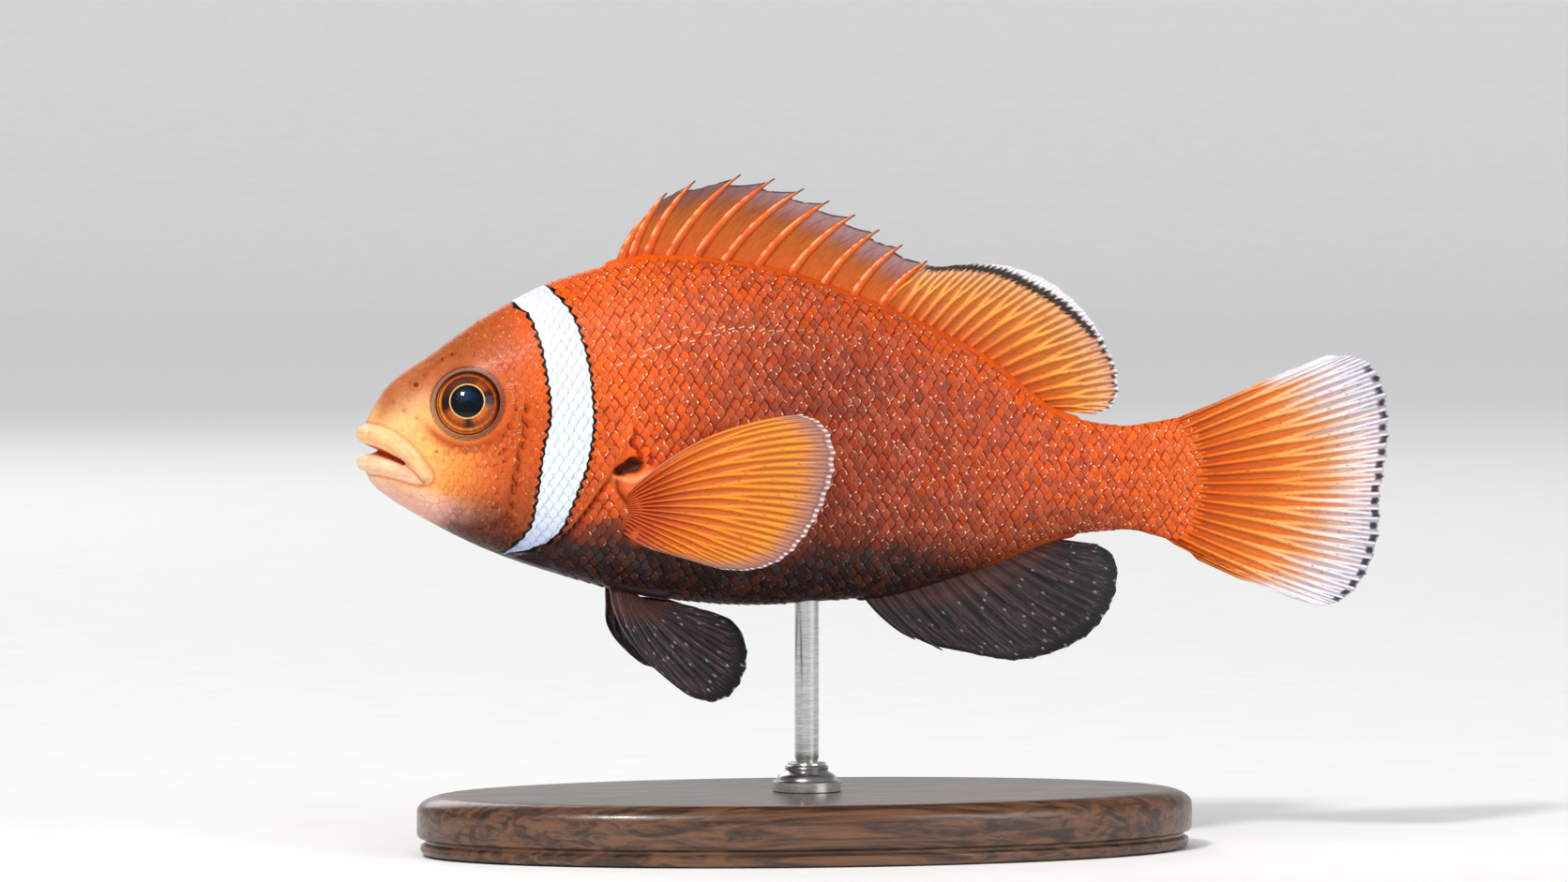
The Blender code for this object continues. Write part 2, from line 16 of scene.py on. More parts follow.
import bmesh
import bpy
import numpy as np
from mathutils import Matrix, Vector

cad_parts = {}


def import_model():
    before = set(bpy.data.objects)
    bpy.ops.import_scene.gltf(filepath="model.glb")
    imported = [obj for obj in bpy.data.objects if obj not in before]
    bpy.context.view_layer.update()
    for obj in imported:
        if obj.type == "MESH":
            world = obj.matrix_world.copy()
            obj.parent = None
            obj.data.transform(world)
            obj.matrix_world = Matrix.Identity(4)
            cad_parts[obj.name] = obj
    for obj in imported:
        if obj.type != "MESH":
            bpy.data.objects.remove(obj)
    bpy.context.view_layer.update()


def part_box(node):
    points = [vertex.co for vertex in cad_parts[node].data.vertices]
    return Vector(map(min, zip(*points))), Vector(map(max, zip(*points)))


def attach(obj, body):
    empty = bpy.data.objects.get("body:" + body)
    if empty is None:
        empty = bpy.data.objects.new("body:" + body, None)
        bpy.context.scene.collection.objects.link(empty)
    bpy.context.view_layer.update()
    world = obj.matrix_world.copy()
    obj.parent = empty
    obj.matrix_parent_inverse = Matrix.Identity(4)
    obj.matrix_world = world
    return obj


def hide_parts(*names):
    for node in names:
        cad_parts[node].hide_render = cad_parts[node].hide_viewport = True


MM = 0.001
ROD_BEHIND = 45.2
LOG = logging.getLogger("clownfish")
Array = np.ndarray
Line = Sequence[Sequence[float]]
Shape = tuple[np.ndarray, list[np.ndarray]]
Piece = bpy.types.Object
Finish = bpy.types.Material
Socket = bpy.types.NodeSocket


class Slot(Enum):
    """The record's material slots."""

    SKIN = "orange_skin"
    LIP = "pale_lip"
    FIN = "amber_fin"
    DARK_FIN = "black_fin"
    EYE = "dark_eye"
    WOOD = "dark_wood"
    STEEL = "brushed_rod"


class Side(Enum):
    """The two sides of the fish, with the sign of their sideways measure."""

    LEFT = -1
    RIGHT = 1


# ---------------------------------------------------------------- numbers and curves


def smooth(at: Array | float, places: Sequence[float], values: Sequence[float],
           free: bool = False) -> Array:
    """Cubic interpolation through a few places.

    Args:
        at: Where to read the curve.
        places: Rising places where the value is known.
        values: The values at those places.
        free: Whether it may swing a little past the values, for rounder lines.

    Returns:
        The values at the asked places, level beyond both ends.
    """
    x, y = np.asarray(places, float), np.asarray(values, float)
    spans = np.diff(x)
    rises = np.diff(y) / spans
    before, after = rises[:-1], rises[1:]
    same_way = before * after > 0
    mean = 2 * before * after / np.where(same_way, before + after, 1.0)
    slopes = np.concatenate(([rises[0]], np.where(same_way, mean, 0.0), [rises[-1]]))
    if free and len(x) > 2:
        slopes = np.gradient(y, x)
    at = np.clip(at, x[0], x[-1])
    i = np.clip(np.searchsorted(x, at, side="right") - 1, 0, len(spans) - 1)
    t = (at - x[i]) / spans[i]
    return ((1 + 2 * t) * (1 - t) ** 2 * y[i] + t * (1 - t) ** 2 * spans[i] * slopes[i]
            + t * t * (3 - 2 * t) * y[i + 1] + t * t * (t - 1) * spans[i] * slopes[i + 1])


def lengths(points: Array) -> Array:
    """Distances along a line of points, from its first point."""
    return np.concatenate(([0.0], np.cumsum(np.linalg.norm(np.diff(points, axis=0), axis=1))))


def circle(count: int) -> Array:
    """Evenly spaced turns round a circle."""
    return np.arange(count) * 2 * math.pi / count


def through(points: Line, at: Array) -> Array:
    """Points on a smooth curve through a few points.

    Args:
        points: Those few points.
        at: Shares of the curve's length, from 0 to 1.

    Returns:
        A point for each share.
    """
    known = np.asarray(points, float)
    steps = lengths(known)
    return np.stack([smooth(at * steps[-1], steps, column, True) for column in known.T], axis=-1)


def behind_at(line: Line, height: Array) -> Array:
    """How far behind the lips a line that runs down the side is, at each height."""
    line = np.asarray(line)
    return smooth(-np.asarray(height, float), -line[:, 1], line[:, 0])


def fade(value: Array | float, start: float | Array, end: float | Array) -> Array:
    """A soft step from 0 at start to 1 at end, whichever of the two is larger."""
    t = np.clip((np.asarray(value, float) - start) / (np.asarray(end, float) - start), 0.0, 1.0)
    return t * t * (3 - 2 * t)


def hump(value: Array | float, middle: float | Array, width: float | Array) -> Array:
    """A bell curve that is 1 at its middle."""
    return np.exp(-(((np.asarray(value, float) - middle) / width) ** 2))


def unit(vectors: Array) -> Array:
    """The vectors at length 1."""
    return vectors / np.maximum(np.linalg.norm(vectors, axis=-1, keepdims=True), 1e-12)


def speckle(*keys: Array) -> Array:
    """Repeatable random numbers.

    Args:
        keys: Up to four arrays that broadcast together.

    Returns:
        A number from 0 to 1 for each set of keys.
    """
    total = np.zeros(np.shape(keys[0]))
    for weight, key in zip((127.1, 311.7, 74.7, 19.3), keys):
        total = total + np.asarray(key, float) * weight
    return np.abs(np.sin(total) * 43758.5453) % 1.0


def line_distance(behind: Array, height: Array, line: Line, count: int = 40) -> tuple[Array, Array]:
    """Distance to a line drawn on the side of the fish.

    Args:
        behind: How far behind the lips each point is.
        height: Its height.
        line: The line's points, from top to bottom.
        count: How many straight steps stand for the smooth line.

    Returns:
        The distance, positive on the tail's side, and the share of the line's length at the nearest place.
    """
    path = through(line, np.linspace(0.0, 1.0, count + 1))
    best = np.full(len(behind), 1e9)
    signed, share = np.zeros(len(behind)), np.zeros(len(behind))
    for k in range(count):
        (b0, h0), (b1, h1) = path[k], path[k + 1]
        run_b, run_h = b1 - b0, h1 - h0
        t = np.clip(((behind - b0) * run_b + (height - h0) * run_h) / (run_b**2 + run_h**2), 0.0, 1.0)
        off_b, off_h = behind - b0 - t * run_b, height - h0 - t * run_h
        away = np.hypot(off_b, off_h)
        nearer = away < best
        best = np.where(nearer, away, best)
        rear = run_b * off_h - run_h * off_b > 0
        signed = np.where(nearer, np.where(rear, away, -away), signed)
        share = np.where(nearer, (k + t) / count, share)
    return signed, share


# ---------------------------------------------------------------- colours


def rgb(red: int, green: int, blue: int) -> Array:
    """A display colour of 0 to 255 as linear light."""
    c = np.array((red, green, blue)) / 255
    return np.where(c <= 0.04045, c / 12.92, ((c + 0.055) / 1.055) ** 2.4)


def mix(first: Array, second: Array, share: Array | float) -> Array:
    """A blend of colours, row by row: the first where the share is 0, the second where it is 1."""
    share = np.asarray(share, float)
    return first + (second - first) * (share[..., None] if share.ndim else share)


def layered(paint: Array, *layers: tuple[Array, Array | float]) -> Array:
    """Lays colours over a colour.

    Args:
        paint: The lowest colour.
        layers: Colours, each with the share in which it covers what lies under it.

    Returns:
        The colour on top.
    """
    for hue, share in layers:
        paint = mix(paint, hue, share)
    return paint


def blend_stops(at: Array, places: Sequence[float], stops: Sequence[Array]) -> Array:
    """Colours read from a smooth run of colour stops."""
    stops = np.asarray(stops)
    return np.stack([smooth(at, places, stops[:, k]) for k in range(3)], axis=-1)


class Hue:
    """The fish's named colours, as linear light."""

    SNOUT = rgb(250, 196, 128)
    LIP = rgb(244, 194, 144)
    # Painted shade in the lips' creases.
    LIP_CREASE_SHADE = rgb(196, 104, 56)
    LOWER_LIP = rgb(240, 200, 168)
    CHIN = rgb(243, 194, 184)
    MOUTH = rgb(200, 74, 32)
    CHEEK = rgb(249, 162, 84)
    FOREHEAD = rgb(156, 72, 36)
    SHOULDER = rgb(236, 97, 16)
    FLANK = rgb(167, 60, 16)
    RUST = rgb(144, 49, 16)
    STALK = rgb(220, 88, 16)
    SOOT = rgb(42, 31, 32)
    UMBER = rgb(96, 42, 26)
    BAR = rgb(219, 227, 233)
    BAR_LOW = rgb(184, 196, 226)
    INK = rgb(14, 11, 11)
    ORBIT = rgb(102, 92, 84)
    # Painted shade in the groove behind the gill cover.
    SLIT_SHADE = rgb(66, 16, 6)
    # Pale colour of painted highlights (glints, scale rims, dots) and of the side line's dashes.
    PALE_GLINT_AND_DASH = rgb(255, 226, 190)


# ---------------------------------------------------------------- where things are


@dataclass(frozen=True)
class FishFrame:
    """Places the fish's millimetres in the model's metres.

    Attributes:
        nose: X of the tip of the lips.
        swim: Z of the swimming line.
    """

    nose: float
    swim: float

    @classmethod
    def from_solids(cls, rod_behind: float, back_peak: float) -> FishFrame:
        """Reads the frame from the solids.

        Args:
            rod_behind: How far behind the lips the stand's rod is.
            back_peak: Height of the back's highest place.
        """
        low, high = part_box("stand_rod")
        return cls((low.x + high.x) / 2 - rod_behind * MM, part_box("trunk")[1].z - back_peak * MM)

    def to_world(self, points: Array) -> Array:
        """Fish points as metres in the model's frame."""
        return np.asarray(points, float) * MM + np.array((self.nose, 0.0, self.swim))


@dataclass(frozen=True)
class FishForm:
    """The trunk's shape from the lips to the root of the tail fin.

    Attributes:
        sections: Rows of behind, back, belly, half width and height of the widest line.
        upper_fullness: Over 1 pinches the back towards its ridge.
        lower_fullness: Under 1 fills the belly out.
        inset: How far the skin lies under the solids, to leave room for the scales.
        tail_arc: The rear edge of the flesh, from top to bottom.
    """

    sections: tuple[tuple[float, ...], ...] = (
        (0.7, 2.9, 0.2, 1.3, 1.7),
        (1.6, 5.0, -2.0, 2.6, 1.0),
        (3.5, 7.8, -3.6, 3.5, 0.6),
        (7.3, 10.5, -5.9, 4.7, 0.5),
        (13.0, 14.6, -8.9, 6.2, 0.8),
        (20.5, 18.2, -11.5, 7.3, 1.1),
        (30.0, 20.3, -13.8, 7.8, 1.2),
        (40.0, 19.3, -14.6, 7.5, 0.8),
        (50.8, 16.0, -14.0, 6.3, 0.2),
        (62.2, 10.8, -11.2, 4.4, -0.6),
        (71.7, 4.3, -8.0, 2.8, -1.8),
        (77.4, 3.4, -7.5, 2.2, -2.1),
        (82.0, 4.0, -8.5, 1.7, -2.2),
        (86.8, 5.7, -10.6, 0.8, -2.3),
    )
    upper_fullness: float = 1.12
    lower_fullness: float = 0.95
    inset: float = 0.24
    tail_arc: Line = ((83.2, 5.6), (84.9, 2.0), (85.6, -2.2), (84.9, -6.4), (83.2, -11.0))

    def column(self, behind: Array | float, index: int) -> Array:
        """One column of the sections, read at places behind the lips."""
        rows = np.asarray(self.sections)
        return smooth(behind, rows[:, 0], rows[:, index])

    def coat(self, behind: Array | float) -> Array:
        """The skin's depth under the solids: little on the bare snout, more under the scales."""
        return 0.03 + (self.inset - 0.03) * fade(behind, 6.0, 13.0)

    def back(self, behind: Array | float) -> Array:
        """Height of the back."""
        return self.column(behind, 1) - self.coat(behind)

    def belly(self, behind: Array | float) -> Array:
        """Height of the belly."""
        return self.column(behind, 2) + self.coat(behind)

    def half_width(self, behind: Array | float) -> Array:
        """Half the width at the widest line."""
        return self.column(behind, 3) - self.coat(behind)

    def widest(self, behind: Array | float) -> Array:
        """Height of the widest line."""
        return self.column(behind, 4)

    def tail_thinning(self, behind: Array, height: Array) -> Array:
        """Share of the width that is left near the tail fin's root, where the flesh thins to a wedge."""
        edge = behind_at(self.tail_arc, height)
        return 0.16 + 0.84 * fade(behind, edge + 0.3, edge - 4.5)

    def side_depth(self, behind: Array, height: Array) -> Array:
        """Half the width at places on the side.

        Args:
            behind: How far behind the lips.
            height: Heights.

        Returns:
            The distance from the middle plane, in millimetres.
        """
        widest = self.widest(behind)
        reach = np.where(height > widest, self.back(behind) - widest, widest - self.belly(behind))
        share = np.clip(np.abs(height - widest) / reach, 0.0, 1.0)
        fullness = np.where(height > widest, self.upper_fullness, self.lower_fullness)
        return self.half_width(behind) * (1 - share**2) ** (fullness / 2) * self.tail_thinning(behind, height)

    def ring(self, behind: float, turns: Array) -> Array:
        """Points of a cross-section at turns from the back (0) round the right side.

        Args:
            behind: How far behind the lips the section is.
            turns: Turns round it.

        Returns:
            Fish points, one per turn.
        """
        rise, out = np.cos(turns), np.sin(turns)
        widest = self.widest(behind)
        reach = np.where(rise > 0, self.back(behind) - widest, widest - self.belly(behind))
        fullness = np.where(rise > 0, self.upper_fullness, self.lower_fullness)
        height = widest + rise * reach
        side = np.sign(out) * self.half_width(behind) * np.abs(out) ** fullness
        side = side * self.tail_thinning(np.full(len(height), behind), height)
        return np.stack((np.full(len(turns), behind), side, height), axis=-1)


@dataclass(frozen=True)
class EyePlace:
    """Where an eye sits, and which way it faces.

    Attributes:
        behind: How far behind the lips the eye's middle is.
        height: Its height.
        radius: The ball's radius.
        half_depth: Half the ball's thickness.
        bulge: How far it stands out of the head.
        turn: Degrees that it faces forwards.
        lift: Degrees that it faces upwards.
    """

    behind: float = 10.4
    height: float = 6.0
    radius: float = 3.45
    half_depth: float = 2.3
    bulge: float = 0.8
    turn: float = 13.0
    lift: float = 14.0

    def axis(self, side: Side) -> Array:
        """The direction in which the eye looks.

        Args:
            side: Which eye.

        Returns:
            A direction of length 1.
        """
        turn, lift = math.radians(self.turn), math.radians(self.lift)
        return unit(np.array((-math.sin(turn), side.value * math.cos(turn) * math.cos(lift),
                              math.cos(turn) * math.sin(lift))))

    def axes(self, side: Side) -> tuple[Array, Array, Array]:
        """The eye's own axes: along the head, upwards, and the way it looks.

        Args:
            side: Which eye.

        Returns:
            Three directions of length 1.
        """
        look = self.axis(side)
        up = unit(np.cross(np.cross(look, (0.0, 0.0, 1.0)), look))
        return unit(np.cross(up, look)) * -side.value, up, look

    def spokes(self, side: Side, turns: Array) -> Array:
        """Directions square to the way the eye looks, at turns round it."""
        along, up, _ = self.axes(side)
        return np.cos(turns)[:, None] * along + np.sin(turns)[:, None] * up

    def away(self, behind: Array, height: Array) -> Array:
        """Distance from the eye's middle, seen from the side."""
        return np.hypot(behind - self.behind, height - self.height)

    def centre(self, form: FishForm, side: Side) -> Array:
        """The middle of the ball.

        Args:
            form: The head's shape.
            side: Which eye.

        Returns:
            A fish point.
        """
        solid_depth = form.side_depth(np.array(self.behind), np.array(self.height)) + form.coat(self.behind)
        front = np.array((self.behind, side.value * float(solid_depth), self.height))
        return front + self.axis(side) * (self.bulge - self.half_depth)


@dataclass(frozen=True)
class Lip:
    """A lip: a roll that runs from one corner of the mouth round the front to the other.

    Attributes:
        front: How far behind the tip of the lips its foremost middle is.
        reach: How far its corners lie behind that.
        half_width: Half its width.
        height: Height of its middle.
        fall: How far its corners lie below that.
        bow: How late it falls.
        front_radius: Radius at its middle.
        corner_radius: Radius at its corners.
    """

    front: float
    reach: float
    half_width: float
    height: float
    fall: float
    bow: float
    front_radius: float
    corner_radius: float

    def path(self, count: int = 33) -> tuple[Array, Array]:
        """The roll's middle line, and its radius along it.

        Args:
            count: How many points the line has.

        Returns:
            Fish points, and a radius for each.
        """
        turns = np.radians(np.linspace(-90, 90, count))
        back = 1 - np.cos(turns)
        points = np.stack((self.front + self.reach * back, -self.half_width * np.sin(turns),
                           self.height - self.fall * back**self.bow), axis=-1)
        return points, self.front_radius + (self.corner_radius - self.front_radius) * back


# ---------------------------------------------------------------- meshes


def add_mesh(name: str, points: Array, faces: Sequence[Array],
             values: dict[str, Array] | None = None) -> Piece:
    """A mesh object with values painted on its points.

    Args:
        name: The piece's name.
        points: Its points, in metres or in fish millimetres while it is worked on.
        faces: Arrays of faces, each array with its own number of corners.
        values: Per point, colours (three columns), vectors (three columns, name ends in _lie) or numbers.

    Returns:
        The object, linked to the scene.
    """
    mesh = bpy.data.meshes.new(name)
    mesh.vertices.add(len(points))
    mesh.vertices.foreach_set("co", np.asarray(points, np.float32).ravel())
    corners = [np.asarray(f, np.int32) for f in faces if len(f)]
    totals = np.concatenate([np.full(len(f), f.shape[1], np.int32) for f in corners])
    flat = np.concatenate([f.ravel() for f in corners])
    mesh.loops.add(len(flat))
    mesh.loops.foreach_set("vertex_index", flat)
    mesh.polygons.add(len(totals))
    mesh.polygons.foreach_set("loop_start", np.concatenate(([0], np.cumsum(totals)[:-1])).astype(np.int32))
    mesh.update(calc_edges=True)
    mesh.validate()
    made = in_scene(name, mesh)
    paint_points(made, values or {})
    mesh.shade_smooth()
    return made


def paint_points(piece: Piece, values: dict[str, Array]) -> None:
    """Writes colours, vectors or numbers on a mesh's points, for its material to read.

    Args:
        piece: The object.
        values: What to write, by name, with one row per point.
    """
    for key, value in values.items():
        if value.ndim == 1:
            made = piece.data.attributes.new(key, "FLOAT", "POINT")
            made.data.foreach_set("value", value.astype(np.float32))
        elif key.endswith("_lie"):
            made = piece.data.attributes.new(key, "FLOAT_VECTOR", "POINT")
            made.data.foreach_set("vector", value.astype(np.float32).ravel())
        else:
            made = piece.data.attributes.new(key, "FLOAT_COLOR", "POINT")
            rgba = np.concatenate((value, np.ones((len(value), 1))), axis=1)
            made.data.foreach_set("color", rgba.astype(np.float32).ravel())


def points_of(piece: Piece) -> Array:
    """The mesh's points, one per row.

    Args:
        piece: The object.

    Returns:
        The points, in the mesh's own units.
    """
    found = np.empty(len(piece.data.vertices) * 3, np.float32)
    piece.data.vertices.foreach_get("co", found)
    return found.reshape(-1, 3).astype(float)


def normals_of(piece: Piece) -> Array:
    """The surface's direction at each point.

    Args:
        piece: The object.

    Returns:
        Directions of length 1.
    """
    found = np.empty(len(piece.data.vertices) * 3, np.float32)
    piece.data.vertex_normals.foreach_get("vector", found)
    return found.reshape(-1, 3).astype(float)


def set_points(piece: Piece, points: Array) -> None:
    """Moves the mesh's points."""
    piece.data.vertices.foreach_set("co", points.astype(np.float32).ravel())
    piece.data.update()


def in_scene(name: str, data: bpy.types.ID) -> Piece:
    """A new object in the scene, made of a mesh, a light or a camera.

    Args:
        name: Its name.
        data: What it shows.

    Returns:
        The object.
    """
    made = bpy.data.objects.new(name, data)
    bpy.context.scene.collection.objects.link(made)
    return made


def grid_faces(rows: int, columns: int, closed: bool = False, looped: bool = False) -> Array:
    """Quads of a grid of points.

    Args:
        rows: How many rows it has.
        columns: How many points a row has.
        closed: Whether the last column joins the first.
        looped: Whether the last row joins the first.

    Returns:
        The quads, four corners each.
    """
    r, c = np.meshgrid(np.arange(rows - (not looped)), np.arange(columns - (not closed)), indexing="ij")
    here, beside, total = r * columns + c, r * columns + (c + 1) % columns, rows * columns
    corners = (here, beside, (beside + columns) % total, (here + columns) % total)
    return np.stack(corners, axis=-1).reshape(-1, 4)


def grid_rim(rows: int, columns: int) -> Array:
    """The points round the border of a grid, in order.

    Args:
        rows: How many rows it has.
        columns: How many points a row has.

    Returns:
        Their numbers.
    """
    end = rows * columns
    return np.concatenate((np.arange(columns - 1), np.arange(columns - 1, end - 1, columns),
                           np.arange(end - 1, end - columns, -1), np.arange(end - columns, 0, -columns)))


def lofted(rings: Array) -> Shape:
    """Points and faces of a closed loft through rings, its ends closed by fans.

    Args:
        rings: Points as rings by sides by three.

    Returns:
        The shape.
    """
    count, sides = rings.shape[:2]
    points = np.concatenate((rings.reshape(-1, 3), [rings[0].mean(axis=0)], [rings[-1].mean(axis=0)]))
    j = np.arange(sides)
    nose = np.stack(((j + 1) % sides, j, np.full(sides, count * sides)), axis=1)
    last = (count - 1) * sides
    tail = np.stack((last + j, last + (j + 1) % sides, np.full(sides, count * sides + 1)), axis=1)
    return points, [grid_faces(count, sides, closed=True), np.concatenate((nose, tail))]


def tube_rings(path: Array, radii: Array, sides: int = 16, caps: int = 5, flat: float = 1.0) -> Array:
    """Rings of a round-ended tube along a path.

    Args:
        path: Its middle line.
        radii: Its radius at each of the line's points.
        sides: Points round it.
        caps: Rings that round off each end.
        flat: Its sideways thickness, as a share of the other way.

    Returns:
        The rings, for lofted().
    """
    radii = np.broadcast_to(radii, len(path))
    headings = unit(np.gradient(path, axis=0))
    angles = np.radians(np.linspace(0, 84, caps + 1)[1:])
    lead, trail = ([(path[end] + sign * headings[end] * radii[end] * math.sin(a), radii[end] * math.cos(a),
                     headings[end]) for a in angles] for end, sign in ((0, -1), (-1, 1)))
    across_share, up_share = flat * np.cos(circle(sides))[:, None], np.sin(circle(sides))[:, None]
    rings = []
    for centre, radius, heading in lead[::-1] + list(zip(path, radii, headings)) + trail:
        reference = (0.0, 1.0, 0.0) if abs(heading[1]) < 0.8 else (0.0, 0.0, 1.0)
        upward = unit(np.cross(heading, reference))
        rings.append(centre + radius * (across_share * np.cross(upward, heading) + up_share * upward))
    return np.stack(rings)


def turned_rings(outline: Line, sides: int, stretch: tuple[float, float] = (1.0, 1.0)) -> Array:
    """Rings of a piece turned on the upright axis, from (radius, height) pairs.

    Args:
        outline: The pairs, from below.
        sides: Points round the piece.
        stretch: Shares of the radius along and across the piece.

    Returns:
        The rings, for lofted().
    """
    turns = circle(sides)
    return np.stack([np.stack((r * stretch[0] * np.cos(turns), r * stretch[1] * np.sin(turns),
                               np.full(sides, z)), axis=1) for r, z in outline])


def joined(shapes: Sequence[Shape]) -> Shape:
    """Several shapes as one.

    Args:
        shapes: Points and faces of each.

    Returns:
        All their points and faces.
    """
    firsts = np.cumsum([0] + [len(points) for points, _ in shapes])
    faces = [some + first for (_, parts), first in zip(shapes, firsts) for some in parts]
    return np.concatenate([points for points, _ in shapes]), faces


def apply_modifiers(piece: Piece) -> None:
    """Makes the mesh what its modifiers show, and removes them.

    Args:
        piece: The object.
    """
    graph = bpy.context.evaluated_depsgraph_get()
    made = bpy.data.meshes.new_from_object(piece.evaluated_get(graph))
    old = piece.data
    piece.modifiers.clear()
    piece.data = made
    bpy.data.meshes.remove(old)


def place(piece: Piece, finish: Finish, slot: Slot, replaces: Sequence[str] = ()) -> None:
    """Dresses a piece, fixes it to the model and reports it.

    Args:
        piece: The object, in metres.
        finish: Its material.
        slot: The record's slot for the piece's finish; not used.
        replaces: The solids that it stands for.
    """
    piece.data.materials.clear()
    piece.data.materials.append(finish)
    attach(piece, "root")
    if replaces:
        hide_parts(*replaces)
    LOG.info("%s: %d faces", piece.name, len(piece.data.polygons))


# ---------------------------------------------------------------- materials


class Shade:
    """A node material under construction, on one Principled shader."""

    def __init__(self, name: str, **levels: float | Sequence[float]) -> None:
        """Starts the material.

        Args:
            name: Its name.
            levels: Values for the shader's sockets, with _ for spaces, such as Coat_Weight=0.2.
        """
        self.material = bpy.data.materials.new(name)
        self.material.use_nodes = True
        self.tree = self.material.node_tree
        self.shader = self.tree.nodes["Principled BSDF"]
        for key, value in levels.items():
            self.shader.inputs[key.replace("_", " ")].default_value = value

    def node(self, kind: str, inputs: dict[str | int, object], output: str | int = 0,
             **settings: object) -> Socket:
        """Adds a node.

        Args:
            kind: Its type, without the ShaderNode prefix.
            inputs: Values or sockets for its inputs, by name or place.
            output: The output to hand back.
            settings: Values for the node's own settings.

        Returns:
            The socket of that output.
        """
        made = self.tree.nodes.new("ShaderNode" + kind)
        for key, value in settings.items():
            setattr(made, key, value)
        for key, value in inputs.items():
            if isinstance(value, Socket):
                self.tree.links.new(value, made.inputs[key])
            else:
                made.inputs[key].default_value = value
        return made.outputs[output]

    def painted(self, name: str, output: str = "Color") -> Socket:
        """Values painted on the mesh's points."""
        return self.node("Attribute", {}, output, attribute_name=name)

    def place_at(self, stretch: Sequence[float] = (1.0, 1.0, 1.0)) -> Socket:
        """Object coordinates in millimetres, stretched per axis."""
        where = self.node("TexCoord", {}, "Object")
        return self.node("Mapping", {"Vector": where, "Scale": tuple(s * 1000 for s in stretch)})

    def noise(self, scale: float, where: Socket, detail: float = 3.0,
              roughness: float = 0.55, distortion: float = 0.0) -> Socket:
        """Soft random mottling, from 0 to 1."""
        return self.node("TexNoise", {"Vector": where, "Scale": scale, "Detail": detail,
                                      "Roughness": roughness, "Distortion": distortion}, "Fac")

    def maths(self, operation: str, first: object, second: object = 0.5, third: object = 0.5,
              clamp: bool = False) -> Socket:
        """One sum on two or three numbers."""
        return self.node("Math", {0: first, 1: second, 2: third}, operation=operation, use_clamp=clamp)

    def span(self, value: Socket, start: float, end: float, low: float = 0.0,
             high: float = 1.0) -> Socket:
        """A smooth step of the value from low to high between start and end."""
        return self.node("MapRange", {"Value": value, "From Min": start, "From Max": end, "To Min": low,
                                      "To Max": high}, interpolation_type="SMOOTHSTEP")

    def mixed(self, share: object, first: object, second: object, blend: str = "MIX") -> Socket:
        """Two colours mixed or laid over each other.

        Args:
            share: How much of the second colour is taken.
            first: The first colour.
            second: The second colour.
            blend: How the second is laid over the first.

        Returns:
            The colour.
        """
        made = self.tree.nodes.new("ShaderNodeMix")
        made.data_type, made.blend_type = "RGBA", blend
        for key, value in ((0, share), (6, first), (7, second)):
            if isinstance(value, Socket):
                self.tree.links.new(value, made.inputs[key])
            else:
                made.inputs[key].default_value = (*value, 1.0) if key and len(value) == 3 else value
        return made.outputs[2]

    def parts(self, kind: str, value: Socket) -> list[Socket]:
        """The three parts of a colour or a vector.

        Args:
            kind: Color or XYZ.
            value: The colour or vector.

        Returns:
            A socket for each part.
        """
        made = self.tree.nodes.new("ShaderNodeSeparate" + kind)
        self.tree.links.new(value, made.inputs[0])
        return list(made.outputs)

    def warmth(self, paint: Socket) -> Socket:
        """How orange a colour is: 0 for black, grey and white."""
        red, _, blue = self.parts("Color", paint)
        return self.span(self.maths("SUBTRACT", red, blue), 0.02, 0.3)

    def product(self, first: Socket, *others: Socket | float) -> Socket:
        """Several numbers multiplied.

        Args:
            first: The first number.
            others: The others.

        Returns:
            The product.
        """
        for other in others:
            first = self.maths("MULTIPLY", first, other)
        return first

    def barred(self, paint: Socket, shadow: Socket | float = 0.0) -> Socket:
        """Lays the white bar with its toothed black edges over a colour.

        Args:
            paint: The colour under it.
            shadow: Where painted shade turns the white bluish, from 0 to 1.

        Returns:
            The colour with the bar.
        """
        front, rear, height = self.parts("XYZ", self.painted("bar_lie", "Vector"))
        depth = self.maths("MINIMUM", front, self.maths("MULTIPLY", rear, -1.0))
        wobble = self.maths("MULTIPLY_ADD", self.noise(1.1, self.place_at(), 2.0), 0.3, -0.15)
        depth = self.maths("ADD", depth, wobble)
        tooth = self.maths("PINGPONG", self.maths("MULTIPLY_ADD", wobble, 1.6, height), 0.46)
        black = self.maths("ADD", depth, self.maths("MULTIPLY_ADD", tooth, 0.85, 0.06))
        depth = self.maths("ADD", depth, self.maths("MULTIPLY_ADD", tooth, 0.3, -0.12))
        paint = self.mixed(self.span(black, 0.0, 0.06), paint, tuple(Hue.INK))
        white = self.mixed(self.span(height, -9.5, -3.5), tuple(Hue.BAR_LOW), tuple(Hue.BAR))
        white = self.mixed(shadow, white, (0.62, 0.72, 0.86), "MULTIPLY")
        return self.mixed(self.span(depth, -0.02, 0.05), paint, white)

    def feed(self, socket: str, value: Socket) -> None:
        """Leads a value into the shader."""
        self.tree.links.new(value, self.shader.inputs[socket])

    def bump(self, height: Socket, depth: float, strength: float = 1.0,
             under: Socket | None = None) -> Socket:
        """Fine relief, its depth in millimetres, on top of another relief where given.

        Args:
            height: The relief, from 0 to 1.
            depth: What 1 stands for.
            strength: How much of it shows.
            under: The relief under it.

        Returns:
            The surface's direction.
        """
        inputs = {"Height": height, "Distance": depth * MM, "Strength": strength}
        if under is not None:
            inputs["Normal"] = under
        return self.node("Bump", inputs)


